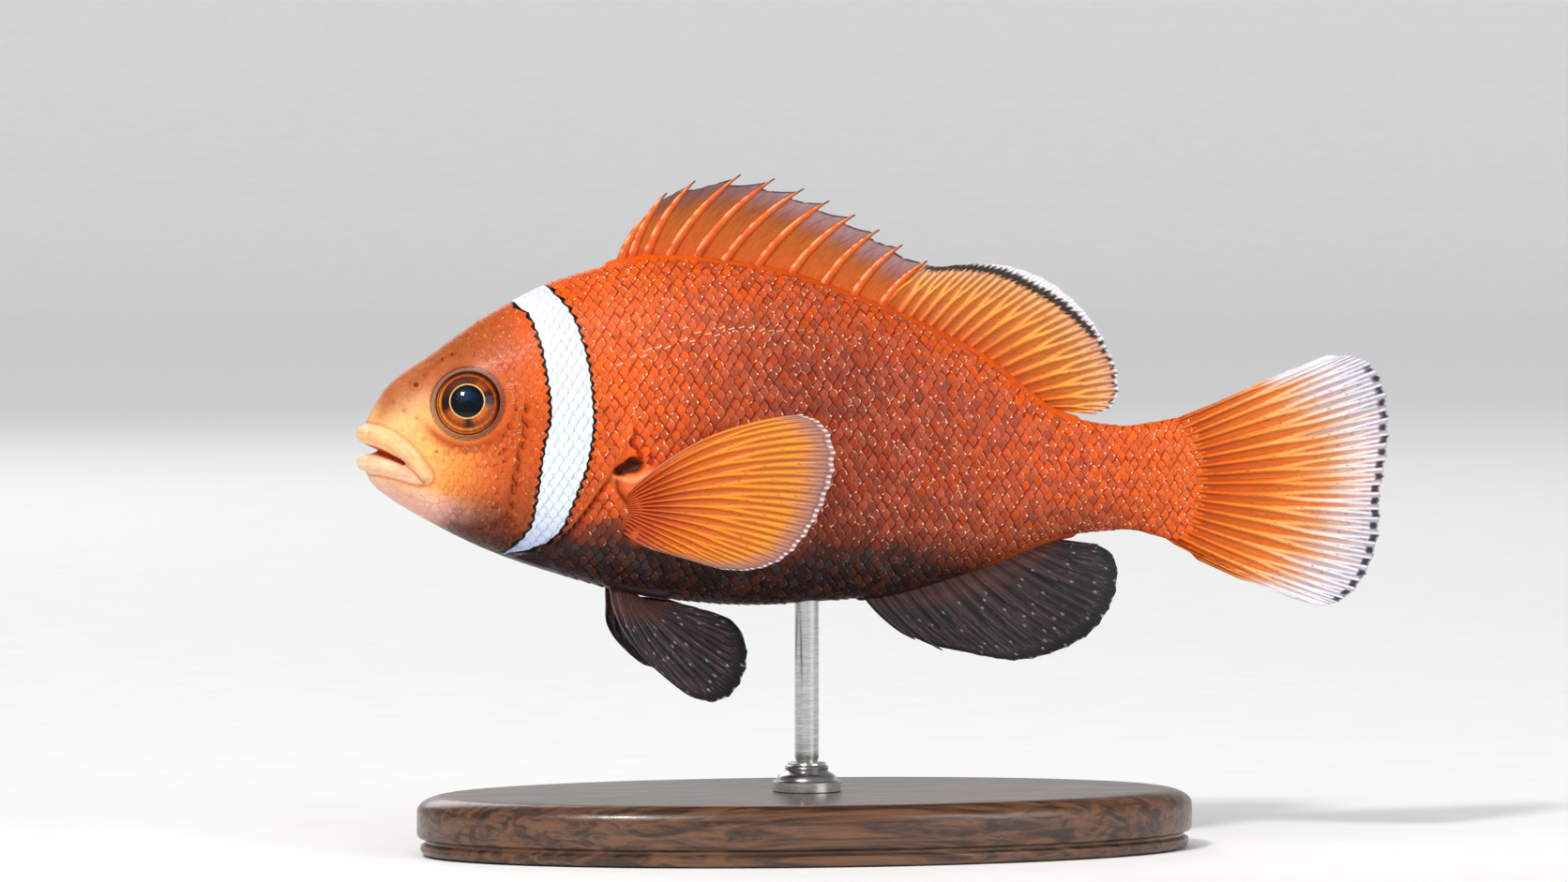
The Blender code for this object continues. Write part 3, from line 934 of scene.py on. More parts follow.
@dataclass(frozen=True)
class WetSkin:
    """The bare skin: a thin gloss over mottled flesh with fine pores and creases, and painted glints.

    Attributes:
        gloss: The lowest roughness.
        pore_depth: Depth of a pore.
    """

    gloss: float = 0.36
    pore_depth: float = 0.035

    def make(self, name: str) -> Finish:
        """Builds the material.

        Args:
            name: The material's name.

        Returns:
            The material.
        """
        shade = Shade(name, Coat_Weight=0.05, Coat_Roughness=0.2, Specular_IOR_Level=0.18)
        where = shade.place_at()
        broad, fine = shade.noise(0.45, where, 4.0), shade.noise(3.2, where, 5.0, 0.65)
        base = shade.painted("paint")
        warm = shade.warmth(base)
        paint = shade.mixed(shade.product(shade.span(broad, 0.3, 0.75), warm), base, (0.86, 0.74, 0.7),
                            "MULTIPLY")
        light = shade.span(fine, 0.35, 0.72, 0.0, 0.3)
        paint = shade.mixed(light, paint, (1.0, 0.86, 0.7), "SOFT_LIGHT")
        shift = shade.node("TexNoise", {"Vector": where, "Scale": 0.9}, "Color")
        bent = shade.mixed(0.35, where, shift, "ADD")
        edges = shade.node("TexVoronoi", {"Vector": bent, "Scale": 0.78, "Randomness": 0.85}, "Distance",
                           feature="DISTANCE_TO_EDGE")
        lined = shade.product(shade.span(edges, 0.0, 0.1, 0.5, 0.0), shade.painted("cells", "Fac"))
        paint = shade.mixed(lined, paint, (0.66, 0.42, 0.34), "MULTIPLY")
        # Painted highlight: pale glints along the edges of the skin's cells.
        glint = shade.product(shade.span(edges, 0.02, 0.07), shade.span(edges, 0.13, 0.07),
                              shade.span(broad, 0.5, 0.62, 0.0, 0.28), shade.painted("glints", "Fac"))
        paint = shade.barred(shade.mixed(glint, paint, tuple(Hue.PALE_GLINT_AND_DASH)))
        shade.feed("Base Color", paint)
        shade.feed("Roughness", shade.span(fine, 0.25, 0.8, self.gloss - 0.06, self.gloss + 0.12))
        cells = shade.node("TexVoronoi", {"Vector": where, "Scale": 3.4, "Randomness": 1.0}, "Distance")
        pores = shade.bump(shade.span(cells, 0.0, 0.55), self.pore_depth, 0.5)
        creases = shade.noise(1.4, shade.place_at((1.0, 1.0, 2.4)), 4.0, 0.6, 0.8)
        shade.feed("Normal", shade.bump(creases, 0.07, 0.55, pores))
        return shade.material


@dataclass(frozen=True)
class ScalePlate:
    """A fish scale: fine growth rings, a glossy film, a tint of its own, painted shade and painted
    highlights.

    Attributes:
        ring_pitch: Distance between growth rings, as a share of the scale's length.
        gloss: The lowest roughness.
        glint_dots: Rows of a number that places a painted highlight dot by luck, its half width, the luck
            from which a
        scale has one, and how far along the scale it lies.
    """

    ring_pitch: float = 0.055
    gloss: float = 0.3
    glint_dots: Line = ((7.31, 0.3, 0.76, 0.92), (17.7, 0.15, 0.5, 0.87))

    def make(self, name: str) -> Finish:
        """Builds the material.

        Args:
            name: The material's name.

        Returns:
            The material.
        """
        shade = Shade(name, Coat_Weight=0.05, Coat_Roughness=0.2, Specular_IOR_Level=0.15)
        where = shade.place_at()
        along, across, luck = shade.parts("XYZ", shade.painted("scale_lie", "Vector"))
        strength = shade.painted("strength", "Fac")
        wobble = shade.noise(2.2, where, 3.0)
        rings = shade.maths("SINE", shade.maths("MULTIPLY_ADD", along, 2 * math.pi / self.ring_pitch,
                                                shade.product(wobble, 7.0)))
        base = shade.painted("paint")
        warm = shade.warmth(base)
        mottled = shade.product(shade.span(shade.noise(1.9, where, 5.0, 0.68), 0.34, 0.72), warm)
        paint = shade.mixed(mottled, base, (0.8, 0.62, 0.5), "MULTIPLY")
        off = shade.maths("ABSOLUTE", across)
        start = shade.maths("MULTIPLY_ADD", shade.maths("MULTIPLY_ADD", off, 0.34, 0.4),
                            shade.product(off, -1.0), along)
        # Painted shade: the lower side of each scale is darker, as if lit from above.
        lower = shade.product(shade.span(across, 0.2, -0.6), strength, warm, 0.5)
        paint = shade.mixed(lower, paint, (0.72, 0.5, 0.42), "MULTIPLY")
        # Painted shade: each scale is dark at its root, where the scale before it overlaps.
        root_shade = shade.product(shade.span(start, 0.29, 0.44, 1.0, 0.0), strength)
        paint = shade.mixed(root_shade, paint, (0.5, 0.31, 0.24), "MULTIPLY")
        bright = shade.maths("MULTIPLY_ADD", warm, 0.86, 0.12)
        # Painted highlight: a pale line along each scale's free edge.
        rim = shade.product(shade.span(along, 0.86, 0.95, 0.0, 0.1), strength, bright)
        paint = shade.mixed(rim, paint, tuple(Hue.PALE_GLINT_AND_DASH))
        # Painted highlights: pale dots on the free ends of chosen scales.
        for number, reach, from_luck, line in self.glint_dots:
            place = shade.maths("MULTIPLY_ADD", shade.maths("FRACT", shade.product(luck, number)), 1.5, -0.75)
            off = shade.maths("ABSOLUTE", shade.maths("SUBTRACT", across, place))
            lucky = shade.maths("FRACT", shade.product(luck, 3 * number))
            inside = shade.span(off, reach, reach - 0.1)
            glint_dot = shade.product(inside, shade.span(lucky, from_luck, from_luck + 0.04),
                                  shade.span(along, line, line + 0.04), strength, bright)
            paint = shade.mixed(glint_dot, paint, tuple(Hue.PALE_GLINT_AND_DASH))
        leaning = shade.maths("MULTIPLY_ADD", along, -0.6, shade.maths("ADD", across, 0.45))
        dash = shade.product(shade.span(shade.maths("ABSOLUTE", leaning), 0.1, 0.03),
                             shade.span(along, 0.5, 0.56), shade.span(along, 0.99, 0.93),
                             shade.painted("lateral", "Fac"))
        paint = shade.mixed(dash, paint, tuple(Hue.PALE_GLINT_AND_DASH))
        # In the white bar, painted shade at each scale's root turns the white bluish.
        shade.feed("Base Color", shade.barred(paint, shade.span(start, 0.3, 0.42, 0.6, 0.0)))
        shade.feed("Roughness", shade.span(wobble, 0.3, 0.7, self.gloss, self.gloss + 0.14))
        shade.feed("Normal", shade.bump(shade.maths("MULTIPLY_ADD", rings, 0.25, wobble), 0.02, 0.6))
        return shade.material


@dataclass(frozen=True)
class FinWeb:
    """A fin: jointed rays with a fibrous web between them.

    Attributes:
        joint_pitch: Distance between a ray's joints.
        joint_dark: How dark the joints are.
        gloss: The lowest roughness.
    """

    joint_pitch: float = 0.85
    joint_dark: float = 0.35
    gloss: float = 0.36

    def make(self, name: str) -> Finish:
        """Builds the material.

        Args:
            name: The material's name.

        Returns:
            The material.
        """
        shade = Shade(name, Coat_Weight=0.05, Coat_Roughness=0.25, Specular_IOR_Level=0.25)
        lie = shade.painted("fin_lie", "Vector")
        spread = shade.node("SeparateXYZ", {"Vector": lie}, "Y")
        ray = shade.painted("ray", "Fac")
        fibres = shade.noise(1.0, shade.node("Mapping", {"Vector": lie, "Scale": (9.0, 0.7, 1.0)}), 4.0, 0.6)
        shift = shade.noise(1.0, shade.node("Mapping", {"Vector": lie, "Scale": (2.6, 0.12, 1.0)}), 1.0)
        joint = shade.maths("ABSOLUTE", shade.maths("SINE", shade.maths(
            "MULTIPLY_ADD", spread, math.pi / self.joint_pitch, shade.product(shift, 14.0))))
        dark = shade.product(shade.span(joint, 0.0, 0.3, self.joint_dark, 0.0), ray)
        paint = shade.mixed(dark, shade.painted("paint"), (0.35, 0.12, 0.06), "MULTIPLY")
        webbed = shade.product(shade.span(fibres, 0.35, 0.7, 0.0, 0.5), shade.maths("SUBTRACT", 1.0, ray))
        paint = shade.mixed(webbed, paint, (0.55, 0.42, 0.38), "MULTIPLY")
        shade.feed("Base Color", paint)
        shade.feed("Roughness", shade.span(fibres, 0.2, 0.8, self.gloss - 0.05, self.gloss + 0.15))
        relief = shade.maths("MULTIPLY_ADD", joint, 0.35, fibres)
        shade.feed("Normal", shade.bump(relief, 0.05, 0.6))
        return shade.material


@dataclass(frozen=True)
class EyeGlass:
    """The eye: its painted layers with fine radial fibres under a wet film."""

    roughness: float = 0.35

    def make(self, name: str) -> Finish:
        """Builds the material.

        Args:
            name: The material's name.

        Returns:
            The material.
        """
        shade = Shade(name, Roughness=self.roughness, Coat_Weight=0.45, Coat_Roughness=0.02,
                      Specular_IOR_Level=0.05)
        lie = shade.painted("eye_lie", "Vector")
        rays = shade.noise(1.0, shade.node("Mapping", {"Vector": lie, "Scale": (3.0, 3.0, 0.5)}), 4.0, 0.6)
        paint = shade.mixed(shade.span(rays, 0.35, 0.7, 0.0, 0.6), shade.painted("paint"),
                            (0.45, 0.33, 0.28), "MULTIPLY")
        shade.feed("Base Color", paint)
        shade.feed("Normal", shade.bump(rays, 0.03, 0.4))
        return shade.material


@dataclass(frozen=True)
class Walnut:
    """Oiled dark wood with long grain and small open pores."""

    dark: tuple[float, float, float] = (0.028, 0.011, 0.006)
    light: tuple[float, float, float] = (0.15, 0.062, 0.026)

    def make(self, name: str) -> Finish:
        """Builds the material.

        Args:
            name: The material's name.

        Returns:
            The material.
        """
        shade = Shade(name, Coat_Weight=0.35, Coat_Roughness=0.18)
        grain = shade.noise(1.0, shade.place_at((0.035, 0.75, 0.9)), 6.0, 0.6, 1.4)
        fine = shade.noise(1.0, shade.place_at((0.18, 6.0, 6.0)), 4.0, 0.7)
        paint = shade.mixed(shade.span(grain, 0.36, 0.64), self.dark, self.light)
        paint = shade.mixed(shade.span(fine, 0.45, 0.7, 0.0, 0.5), paint, (0.35, 0.3, 0.28), "MULTIPLY")
        shade.feed("Base Color", paint)
        shade.feed("Roughness", shade.span(fine, 0.3, 0.7, 0.26, 0.44))
        shade.feed("Normal", shade.bump(fine, 0.05, 0.35))
        return shade.material


@dataclass(frozen=True)
class BrushedSteel:
    """Steel brushed round its axis."""

    tone: tuple[float, float, float] = (0.66, 0.66, 0.64)

    def make(self, name: str) -> Finish:
        """Builds the material.

        Args:
            name: The material's name.

        Returns:
            The material.
        """
        shade = Shade(name, Metallic=1.0)
        lines = shade.noise(1.0, shade.place_at((0.5, 0.5, 16.0)), 4.0, 0.7)
        shade.feed("Base Color", shade.mixed(shade.span(lines, 0.3, 0.7), self.tone, (0.44, 0.44, 0.43)))
        shade.feed("Roughness", shade.span(lines, 0.3, 0.7, 0.2, 0.36))
        shade.feed("Normal", shade.bump(lines, 0.01, 0.3))
        return shade.material


# ---------------------------------------------------------------- relief and markings


@dataclass(frozen=True)
class Relief:
    """The folds and grooves of the flesh, as lines on the side of the fish from top to bottom.

    Attributes:
        eye: Where the eyes sit.
        gill_edge: The rear edge of the gill cover.
        cheek_fold: The fold down the cheek and under it.
        lateral: The side line's row of marked scales.
        arm_fold: The crease in front of a pectoral fin's root.
        arm_rays: Where the fleshy pad behind that crease turns into rays.
        arm_fan: Where the pad's ridges would meet.
        arm_tendon: The tight cord over the pad.
        nostril: The nostril's middle.
        arm_hole: The middle of the hole over the cord.
        eye_folds: Radius and turn of each fine fold behind the eye.
        pores: The pores of the face.
    """

    eye: EyePlace
    gill_edge: Line = ((22.4, 9.4), (23.3, 7.2), (25.1, 5.4), (26.3, 3.7), (25.9, 2.3), (24.7, 0.0),
                       (23.2, -2.3), (21.3, -5.1), (19.6, -7.1), (17.5, -8.5), (14.5, -9.6))
    cheek_fold: Line = ((16.3, 7.4), (16.0, 5.6), (15.7, 2.8), (15.1, 0.0), (14.6, -2.8), (14.4, -5.1),
                        (13.0, -6.2), (11.2, -6.5), (8.5, -6.3))
    lateral: Line = ((24.8, 9.8), (30.0, 11.5), (34.9, 12.8), (39.8, 13.0), (45.2, 12.4), (52.9, 10.2),
                     (60.9, 6.5), (68.0, 2.3))
    arm_fold: Line = ((24.9, -1.1), (25.2, -2.9), (26.2, -4.1), (26.7, -5.6), (26.0, -7.1), (26.3, -8.2))
    arm_rays: Line = ((28.4, -1.2), (28.9, -4.6), (27.7, -8.2))
    arm_fan: tuple[float, float] = (22.0, -4.6)
    arm_tendon: Line = ((24.7, -1.35), (26.2, -1.75), (28.4, -0.9))
    nostril: tuple[float, float] = (5.7, 7.65)
    arm_hole: tuple[float, float] = (26.15, -0.35)
    eye_folds: Line = ((4.75, 0.5), (5.6, 1.0), (6.5, 1.4))
    pores: Line = ((3.4, 6.0), (4.4, 5.1), (5.6, 4.4), (4.2, 3.3), (6.2, 2.4), (7.3, 1.1), (9.0, 0.6),
                   (11.0, 0.5), (13.0, 1.6), (6.6, 8.6), (8.2, 10.2), (10.4, 11.6))

    def lift(self, behind: Array, height: Array) -> Array:
        """How far the flesh stands out of the plain form at places on the side, in millimetres.

        Args:
            behind: How far behind the lips.
            height: Heights.

        Returns:
            A distance for each place.
        """
        away, share = line_distance(behind, height, self.gill_edge)
        ends = (0.25 + 0.75 * fade(share, 0.15, 0.5)) * fade(share, 0.0, 0.1) * fade(share, 1.0, 0.9)
        step = np.interp(away, (-7.0, -3.0, -0.6, -0.1, 0.2, 0.7, 3.8), (0, 0.12, 0.28, 0.18, -0.3, -0.24, 0))
        away, share = line_distance(behind, height, self.cheek_fold)
        fold = fade(share, 0.0, 0.15) * fade(share, 1.0, 0.8)
        groove = 0.04 * hump(away, -0.75, 0.6) - 0.12 * hump(away, 0.0, 0.3)
        ring = np.hypot(behind - self.nostril[0], height - self.nostril[1])
        nostril = 0.2 * hump(ring, 0.4, 0.16) - 0.45 * hump(ring, 0.0, 0.2)
        pad, crease = self.arm_pad(behind, height)
        rays = 0.06 * self.arm_ridges(behind, height) * pad * fade(behind, 27.2, 28.4)
        total = step * ends + groove * fold + nostril + 0.42 * pad + rays - 0.22 * crease
        total = total + 0.3 * self.tendon(behind, height) - 1.2 * self.hole(behind, height)
        for strength, fold in self.eye_wrinkles(behind, height):
            total -= 0.1 * strength * fold
        for pore_behind, pore_height in self.pores:
            total -= 0.1 * hump(np.hypot(behind - pore_behind, height - pore_height), 0.0, 0.2)
        return total

    def hole(self, behind: Array, height: Array) -> Array:
        """How far inside the ragged hole over a pectoral fin's root a place is, from 0 to 1.

        Args:
            behind: How far behind the lips.
            height: Heights.

        Returns:
            A share for each place.
        """
        off_b, off_h = behind - self.arm_hole[0], height - self.arm_hole[1]
        off_h = off_h - 0.28 * off_b
        ragged = 0.14 * np.sin(3 * np.arctan2(off_h, off_b) + 0.6)
        return fade(np.hypot(off_b / 1.5, off_h / 0.82) + ragged, 1.12, 0.72)

    def tendon(self, behind: Array, height: Array) -> Array:
        """The tight cord under that hole, from 0 to 1."""
        return hump(line_distance(behind, height, self.arm_tendon)[0], 0.0, 0.34)

    def arm_ridges(self, behind: Array, height: Array) -> Array:
        """The ridges that fan out over a pectoral fin's root, from -1 to 1."""
        return np.sin(np.arctan2(height - self.arm_fan[1], behind - self.arm_fan[0]) * 44)

    def arm_bare(self, behind: Array, height: Array) -> Array:
        """Whether a place is too near a pectoral fin's root for a scale.

        Args:
            behind: How far behind the lips.
            height: Heights.

        Returns:
            True or false for each place.
        """
        rear = behind - behind_at(self.arm_rays, height)
        away = line_distance(behind, height, self.arm_fold)[0]
        root = (away > -0.72) & (rear < 1.0) & (height < -1.0) & (height > -8.8)
        return root | (self.tendon(behind, height) > 0.1)

    def arm_pad(self, behind: Array, height: Array) -> tuple[Array, Array]:
        """The flesh at a pectoral fin's root.

        Args:
            behind: How far behind the lips.
            height: Heights.

        Returns:
            The pad, and the crease in front of it, each from 0 to 1.
        """
        away, share = line_distance(behind, height, self.arm_fold)
        rear = behind - behind_at(self.arm_rays, height)
        tall = fade(height, -8.7, -7.0) * fade(height, 0.4, -1.2)
        pad = fade(away, 0.0, 0.8) * fade(rear, 1.2, -0.6) * tall
        return pad, hump(away, -0.08, 0.16) * fade(share, 0.0, 0.1) * tall

    def eye_wrinkles(self, behind: Array, height: Array) -> Iterator[tuple[float, Array]]:
        """The fine folds behind and over the eye.

        Args:
            behind: How far behind the lips.
            height: Heights.

        Yields:
            Each fold's strength, and how much of it is at each place.
        """
        turn = np.arctan2(height - self.eye.height, behind - self.eye.behind)
        for strength, (radius, turn_from) in zip((1, 0.8, 0.6), self.eye_folds):
            fold = hump(self.eye.away(behind, height), radius + 0.1 * np.sin(5 * turn), 0.2)
            yield strength, fold * np.maximum(hump(turn, 0.2 - turn_from, 0.7), 0.8 * hump(turn, 1.9, 0.5))


@dataclass(frozen=True)
class Markings:
    """The fish's colours, shared by its skin and its scales.

    Attributes:
        form: The trunk's shape.
        relief: The folds of the flesh.
        eye: Where the eyes sit.
        upper_lip: The upper lip.
        lower_lip: The lower lip.
        bar_front: The white bar's front edge, from top to bottom.
        bar_rear: Its rear edge.
        dark_from: The dark belly's upper edge, from front to back.
    """

    form: FishForm
    relief: Relief
    eye: EyePlace
    upper_lip: Lip
    lower_lip: Lip
    bar_front: Line = ((14.6, 17.5), (15.2, 16.0), (16.7, 14.7), (17.6, 12.1), (18.2, 8.4), (18.4, 4.6),
                       (17.65, 0.9), (17.2, -2.8), (16.5, -6.5), (14.85, -8.6), (14.0, -9.6))
    bar_rear: Line = ((17.8, 19.5), (18.8, 17.5), (20.75, 14.9), (21.8, 11.6), (22.4, 7.4), (22.5, 3.7),
                      (21.9, 0.0), (20.6, -3.7), (19.2, -7.0), (16.9, -8.5), (14.8, -9.0), (13.6, -9.9))
    dark_from: Line = ((7.0, -6.6), (9.0, -6.9), (15.0, -8.8), (20.0, -8.2), (25.0, -7.7), (30.0, -8.3),
                       (39.0, -9.6), (53.0, -9.2), (60.0, -10.6), (66.0, -12.5))

    def flesh(self, behind: Array, height: Array, jitter: Array | float = 0.0) -> Array:
        """The fish's colour at places on its side, without the white bar.

        Args:
            behind: How far behind the lips.
            height: Heights.
            jitter: A shift of the dark belly's edge, in millimetres.

        Returns:
            A colour for each place.
        """
        back, belly = self.form.back(behind), self.form.belly(behind)
        rise = np.clip((height - belly) / (back - belly), 0, 1)
        paint = blend_stops(behind, (0, 4.5, 8, 11, 14, 18, 25, 33, 47, 58, 68, 76, 86),
                            (Hue.SNOUT, Hue.SNOUT, Hue.CHEEK, rgb(236, 126, 52), rgb(214, 96, 36),
                             Hue.SHOULDER, Hue.SHOULDER, mix(Hue.SHOULDER, Hue.FLANK, 0.6), Hue.RUST,
                             Hue.FLANK, mix(Hue.FLANK, Hue.STALK, 0.6), Hue.STALK, rgb(236, 108, 30)))
        brow = fade(rise, 0.55, 0.9) * fade(behind, 0.5, 3.0) * fade(behind, 18.0, 9.0)
        under_eye = hump(np.hypot((behind - 7.6) / 3.4, (height - 1.2) / 2.6), 0.0, 1.0)
        # Painted shade: a darker ring under the eye's fold.
        under_orbit_shade = hump(self.eye.away(behind, height), 4.4, 0.6) * fade(height, 5.0, 2.6)
        rear_cheek = fade(behind, 10.5, 14.0) * fade(behind, 19.5, 17.0) * fade(height, 7.0, 2.0)
        ridge = fade(rise, 0.72, 0.97) * fade(behind, 24.0, 34.0)
        low = fade(rise, 0.42, 0.1) * fade(behind, 12.0, 20.0)
        chin = fade(height + 0.3 * behind, 0.2, -2.2) * fade(behind, 15.0, 8.0)
        throat = fade(rise, 0.3 + 0.1 * fade(behind, 12.5, 15.5), 0.1) * fade(behind, 8.0, 12.5)
        past_gill = line_distance(behind, height, self.relief.gill_edge)[0]
        cover = fade(behind, 13.5, 15.0) * fade(past_gill, 0.6, -0.6)
        dark = np.asarray(self.dark_from)
        over = height - smooth(behind, dark[:, 0], dark[:, 1]) + jitter
        dusky = fade(behind, 6.5, 10.0) * fade(behind, 70.0, 60.0)
        return layered(paint, (Hue.FOREHEAD, 0.85 * brow), (rgb(252, 172, 92), 0.65 * under_eye),
                       (rgb(172, 64, 18), 0.9 * under_orbit_shade), (rgb(212, 94, 34), 0.4 * rear_cheek),
                       (Hue.SHOULDER, 0.45 * ridge), (Hue.UMBER, 0.5 * low * fade(behind, 84.0, 72.0)),
                       (Hue.CHIN, 0.85 * chin), (rgb(88, 46, 33), 0.85 * throat * fade(behind, 22.0, 18.0)),
                       (rgb(192, 84, 28), 0.45 * cover * fade(height, 8.5, 5.0)),
                       (Hue.UMBER, 0.8 * fade(over, 3.6, 0.6) * dusky),
                       (Hue.SOOT, 0.96 * fade(over, 1.7, -0.9) * dusky))

    def bar_lie(self, behind: Array, height: Array) -> Array:
        """Where places lie about the white bar, for the materials to read.

        Args:
            behind: How far behind the lips.
            height: Heights.

        Returns:
            Distances past its front and its rear edge, positive towards the tail, and the height.
        """
        front, rear = (line_distance(behind, height, line)[0] for line in (self.bar_front, self.bar_rear))
        return np.stack((front, rear, height), axis=1)

    def skin(self, points: Array) -> dict[str, Array]:
        """What is painted on the skin.

        Args:
            points: Points of its surface.

        Returns:
            Values for the skin's finish, by name.
        """
        behind, _, height = points.T
        noise = 0.35 * np.sin(behind * 2.1 + height * 1.3) * np.sin(height * 2.7 - behind * 0.8)
        paint = self.flesh(behind, height, noise)
        relief = self.relief
        away, share = line_distance(behind, height, relief.gill_edge)
        # Painted shade: the skin under the scales is darker, so the gaps between scales look shaded.
        scaled = fade(behind, 6.5, 10.0) * (1 - hump(away, -0.15, 0.6))
        # Painted shade: dark in the groove behind the gill cover's edge.
        slit_shade = hump(away, 0.42, 0.22) * fade(share, 0.3, 0.6) * fade(share, 1.0, 0.93)
        bar_here = fade(height, -6.0, -7.5)
        # Painted highlight: lighter orange along the gill cover's raised edge.
        rim = hump(away, -0.1, 0.2) * fade(share, 0.0, 0.12) * fade(share, 1.0, 0.9)
        paint = layered(paint, (paint * 0.72, 0.6 * scaled), (Hue.SLIT_SHADE, 0.9 * slit_shade * (1 - 0.6 * bar_here)),
                        (rgb(238, 132, 66), 0.5 * rim * (1 - bar_here)))
        away, share = line_distance(behind, height, relief.cheek_fold)
        fold = fade(share, 0.0, 0.15) * fade(share, 1.0, 0.8)
        pad, crease = relief.arm_pad(behind, height)
        stripes = (0.5 + 0.5 * relief.arm_ridges(behind, height)) * fade(behind, 27.2, 28.4)
        ring = np.hypot(behind - relief.nostril[0], height - relief.nostril[1])
        # Painted shade in the fine folds round the eye.
        wrinkles = ((rgb(168, 70, 26), 0.4 * strength * much)
                    for strength, much in relief.eye_wrinkles(behind, height))
        # Painted shade in the pores' pits.
        pores = ((rgb(120, 50, 26), 0.6 * hump(np.hypot(behind - pore[0], height - pore[1]), 0, 0.16))
                 for pore in relief.pores)
        # Painted shade in the cheek fold's groove.
        paint = layered(paint, (rgb(120, 44, 16), 0.6 * hump(away, 0.05, 0.3) * fold),
                        (mix(rgb(230, 110, 52), rgb(164, 60, 22), 0.8 * stripes), 0.9 * pad),
                        # Painted shade in the crease in front of the pectoral fin's pad.
                        (rgb(84, 22, 8), 0.9 * crease),
                        # The cord: pale pink, with a painted highlight along it.
                        (rgb(240, 142, 92), 0.8 * relief.tendon(behind, height)),
                        # Painted shade: nearly black in the hole over the pectoral fin's root.
                        (rgb(62, 18, 10), 0.96 * relief.hole(behind, height)), *wrinkles,
                        # A dark outline round the nostril, and painted shade in its pit.
                        (rgb(170, 84, 50), 0.6 * hump(ring, 0.6, 0.1)),
                        (rgb(70, 26, 16), 0.9 * fade(ring, 0.24, 0.12)), *pores)
        paint, lips = self.mouth(self.orbit(paint, points), points)
        near_eye = fade(self.eye.away(behind, height), 3.9, 4.6)
        cells = (1 - lips) * near_eye * fade(behind, 24.0, 20.0) * (0.4 + 0.6 * fade(behind, 3.0, 9.0))
        # glints: where the skin gets its painted highlights.
        return {"paint": paint, "cells": cells, "glints": cells * fade(behind, 8.0, 12.0),
                "bar_lie": self.bar_lie(behind, height)}

    def orbit(self, paint: Array, points: Array) -> Array:
        """Lays the grey fold round each eye over a colour, with painted shade on its lower rear side.

        Args:
            paint: The colour under it.
            points: Where the colours are.

        Returns:
            The new colours.
        """
        for side in Side:
            offset = points - self.eye.centre(self.form, side)
            depth = offset @ self.eye.axis(side)
            ring = np.sqrt(np.maximum((offset**2).sum(axis=1) - depth**2, 0))
            near = fade(depth, -1.9, -0.8)
            # Painted shade: the grey fold is darker on its lower rear side.
            fold = mix(Hue.ORBIT, rgb(50, 41, 42), fade(offset[:, 0] - offset[:, 2], -1.5, 3.5))
            paint = layered(paint, (fold, 0.95 * hump(ring, 3.38, 0.17) * near),
                            (Hue.INK, 0.9 * fade(ring, 3.24, 3.16) * near),
                            (rgb(64, 32, 24), 0.85 * hump(ring, 3.64, 0.1) * near))
        return paint

    def mouth(self, paint: Array, points: Array) -> tuple[Array, Array]:
        """Colours the lips and the inside of the mouth.

        Args:
            paint: The colour under them.
            points: Where the colours are.

        Returns:
            The new colours, and how far each point is on the lips or in the mouth, from 0 to 1.
        """
        behind, _, height = points.T
        middle = 1.6 - 0.4 * behind
        gap = fade(np.abs(height - middle), 1.0, 0.6) * fade(behind, 5.6, 4.6)
        lips = np.zeros(len(points))
        for lip, hue in ((self.upper_lip, Hue.LIP), (self.lower_lip, Hue.LOWER_LIP)):
            path, radii = lip.path(121)
            nearest, over = np.full(len(points), 1e9), np.zeros(len(points))
            for centre, radius in zip(path, radii):
                away = np.linalg.norm(points - centre, axis=1) - radius
                over = np.where(away < nearest, (height - centre[2]) / radius, over)
                nearest = np.minimum(nearest, away)
            on = fade(nearest, 0.3, 0.08)
            gap = gap * (1 - on)
            # Painted shade in the groove round the lip's foot.
            paint = mix(paint, Hue.LIP_CREASE_SHADE, 0.75 * hump(nearest, 0.3, 0.16) * fade(behind, 9.0, 7.0))
            paint = mix(paint, hue, 0.9 * on)
            # Painted shade in two fine creases along each lip.
            for crease in (-0.35, 0.3):
                line = hump(over + 0.1 * np.sin(behind * 3), crease, 0.06)
                paint = mix(paint, Hue.LIP_CREASE_SHADE, 0.3 * line * on)
            lips = np.maximum(lips, fade(nearest, 0.5, 0.2))
        return mix(paint, Hue.MOUTH, gap), np.maximum(lips, gap)


# ---------------------------------------------------------------- skin


def outward(piece: Piece) -> None:
    """Turns the mesh's faces outwards.

    Args:
        piece: The object.
    """
    work = bmesh.new()
    work.from_mesh(piece.data)
    bmesh.ops.recalc_face_normals(work, faces=work.faces)
    work.to_mesh(piece.data)
    work.free()


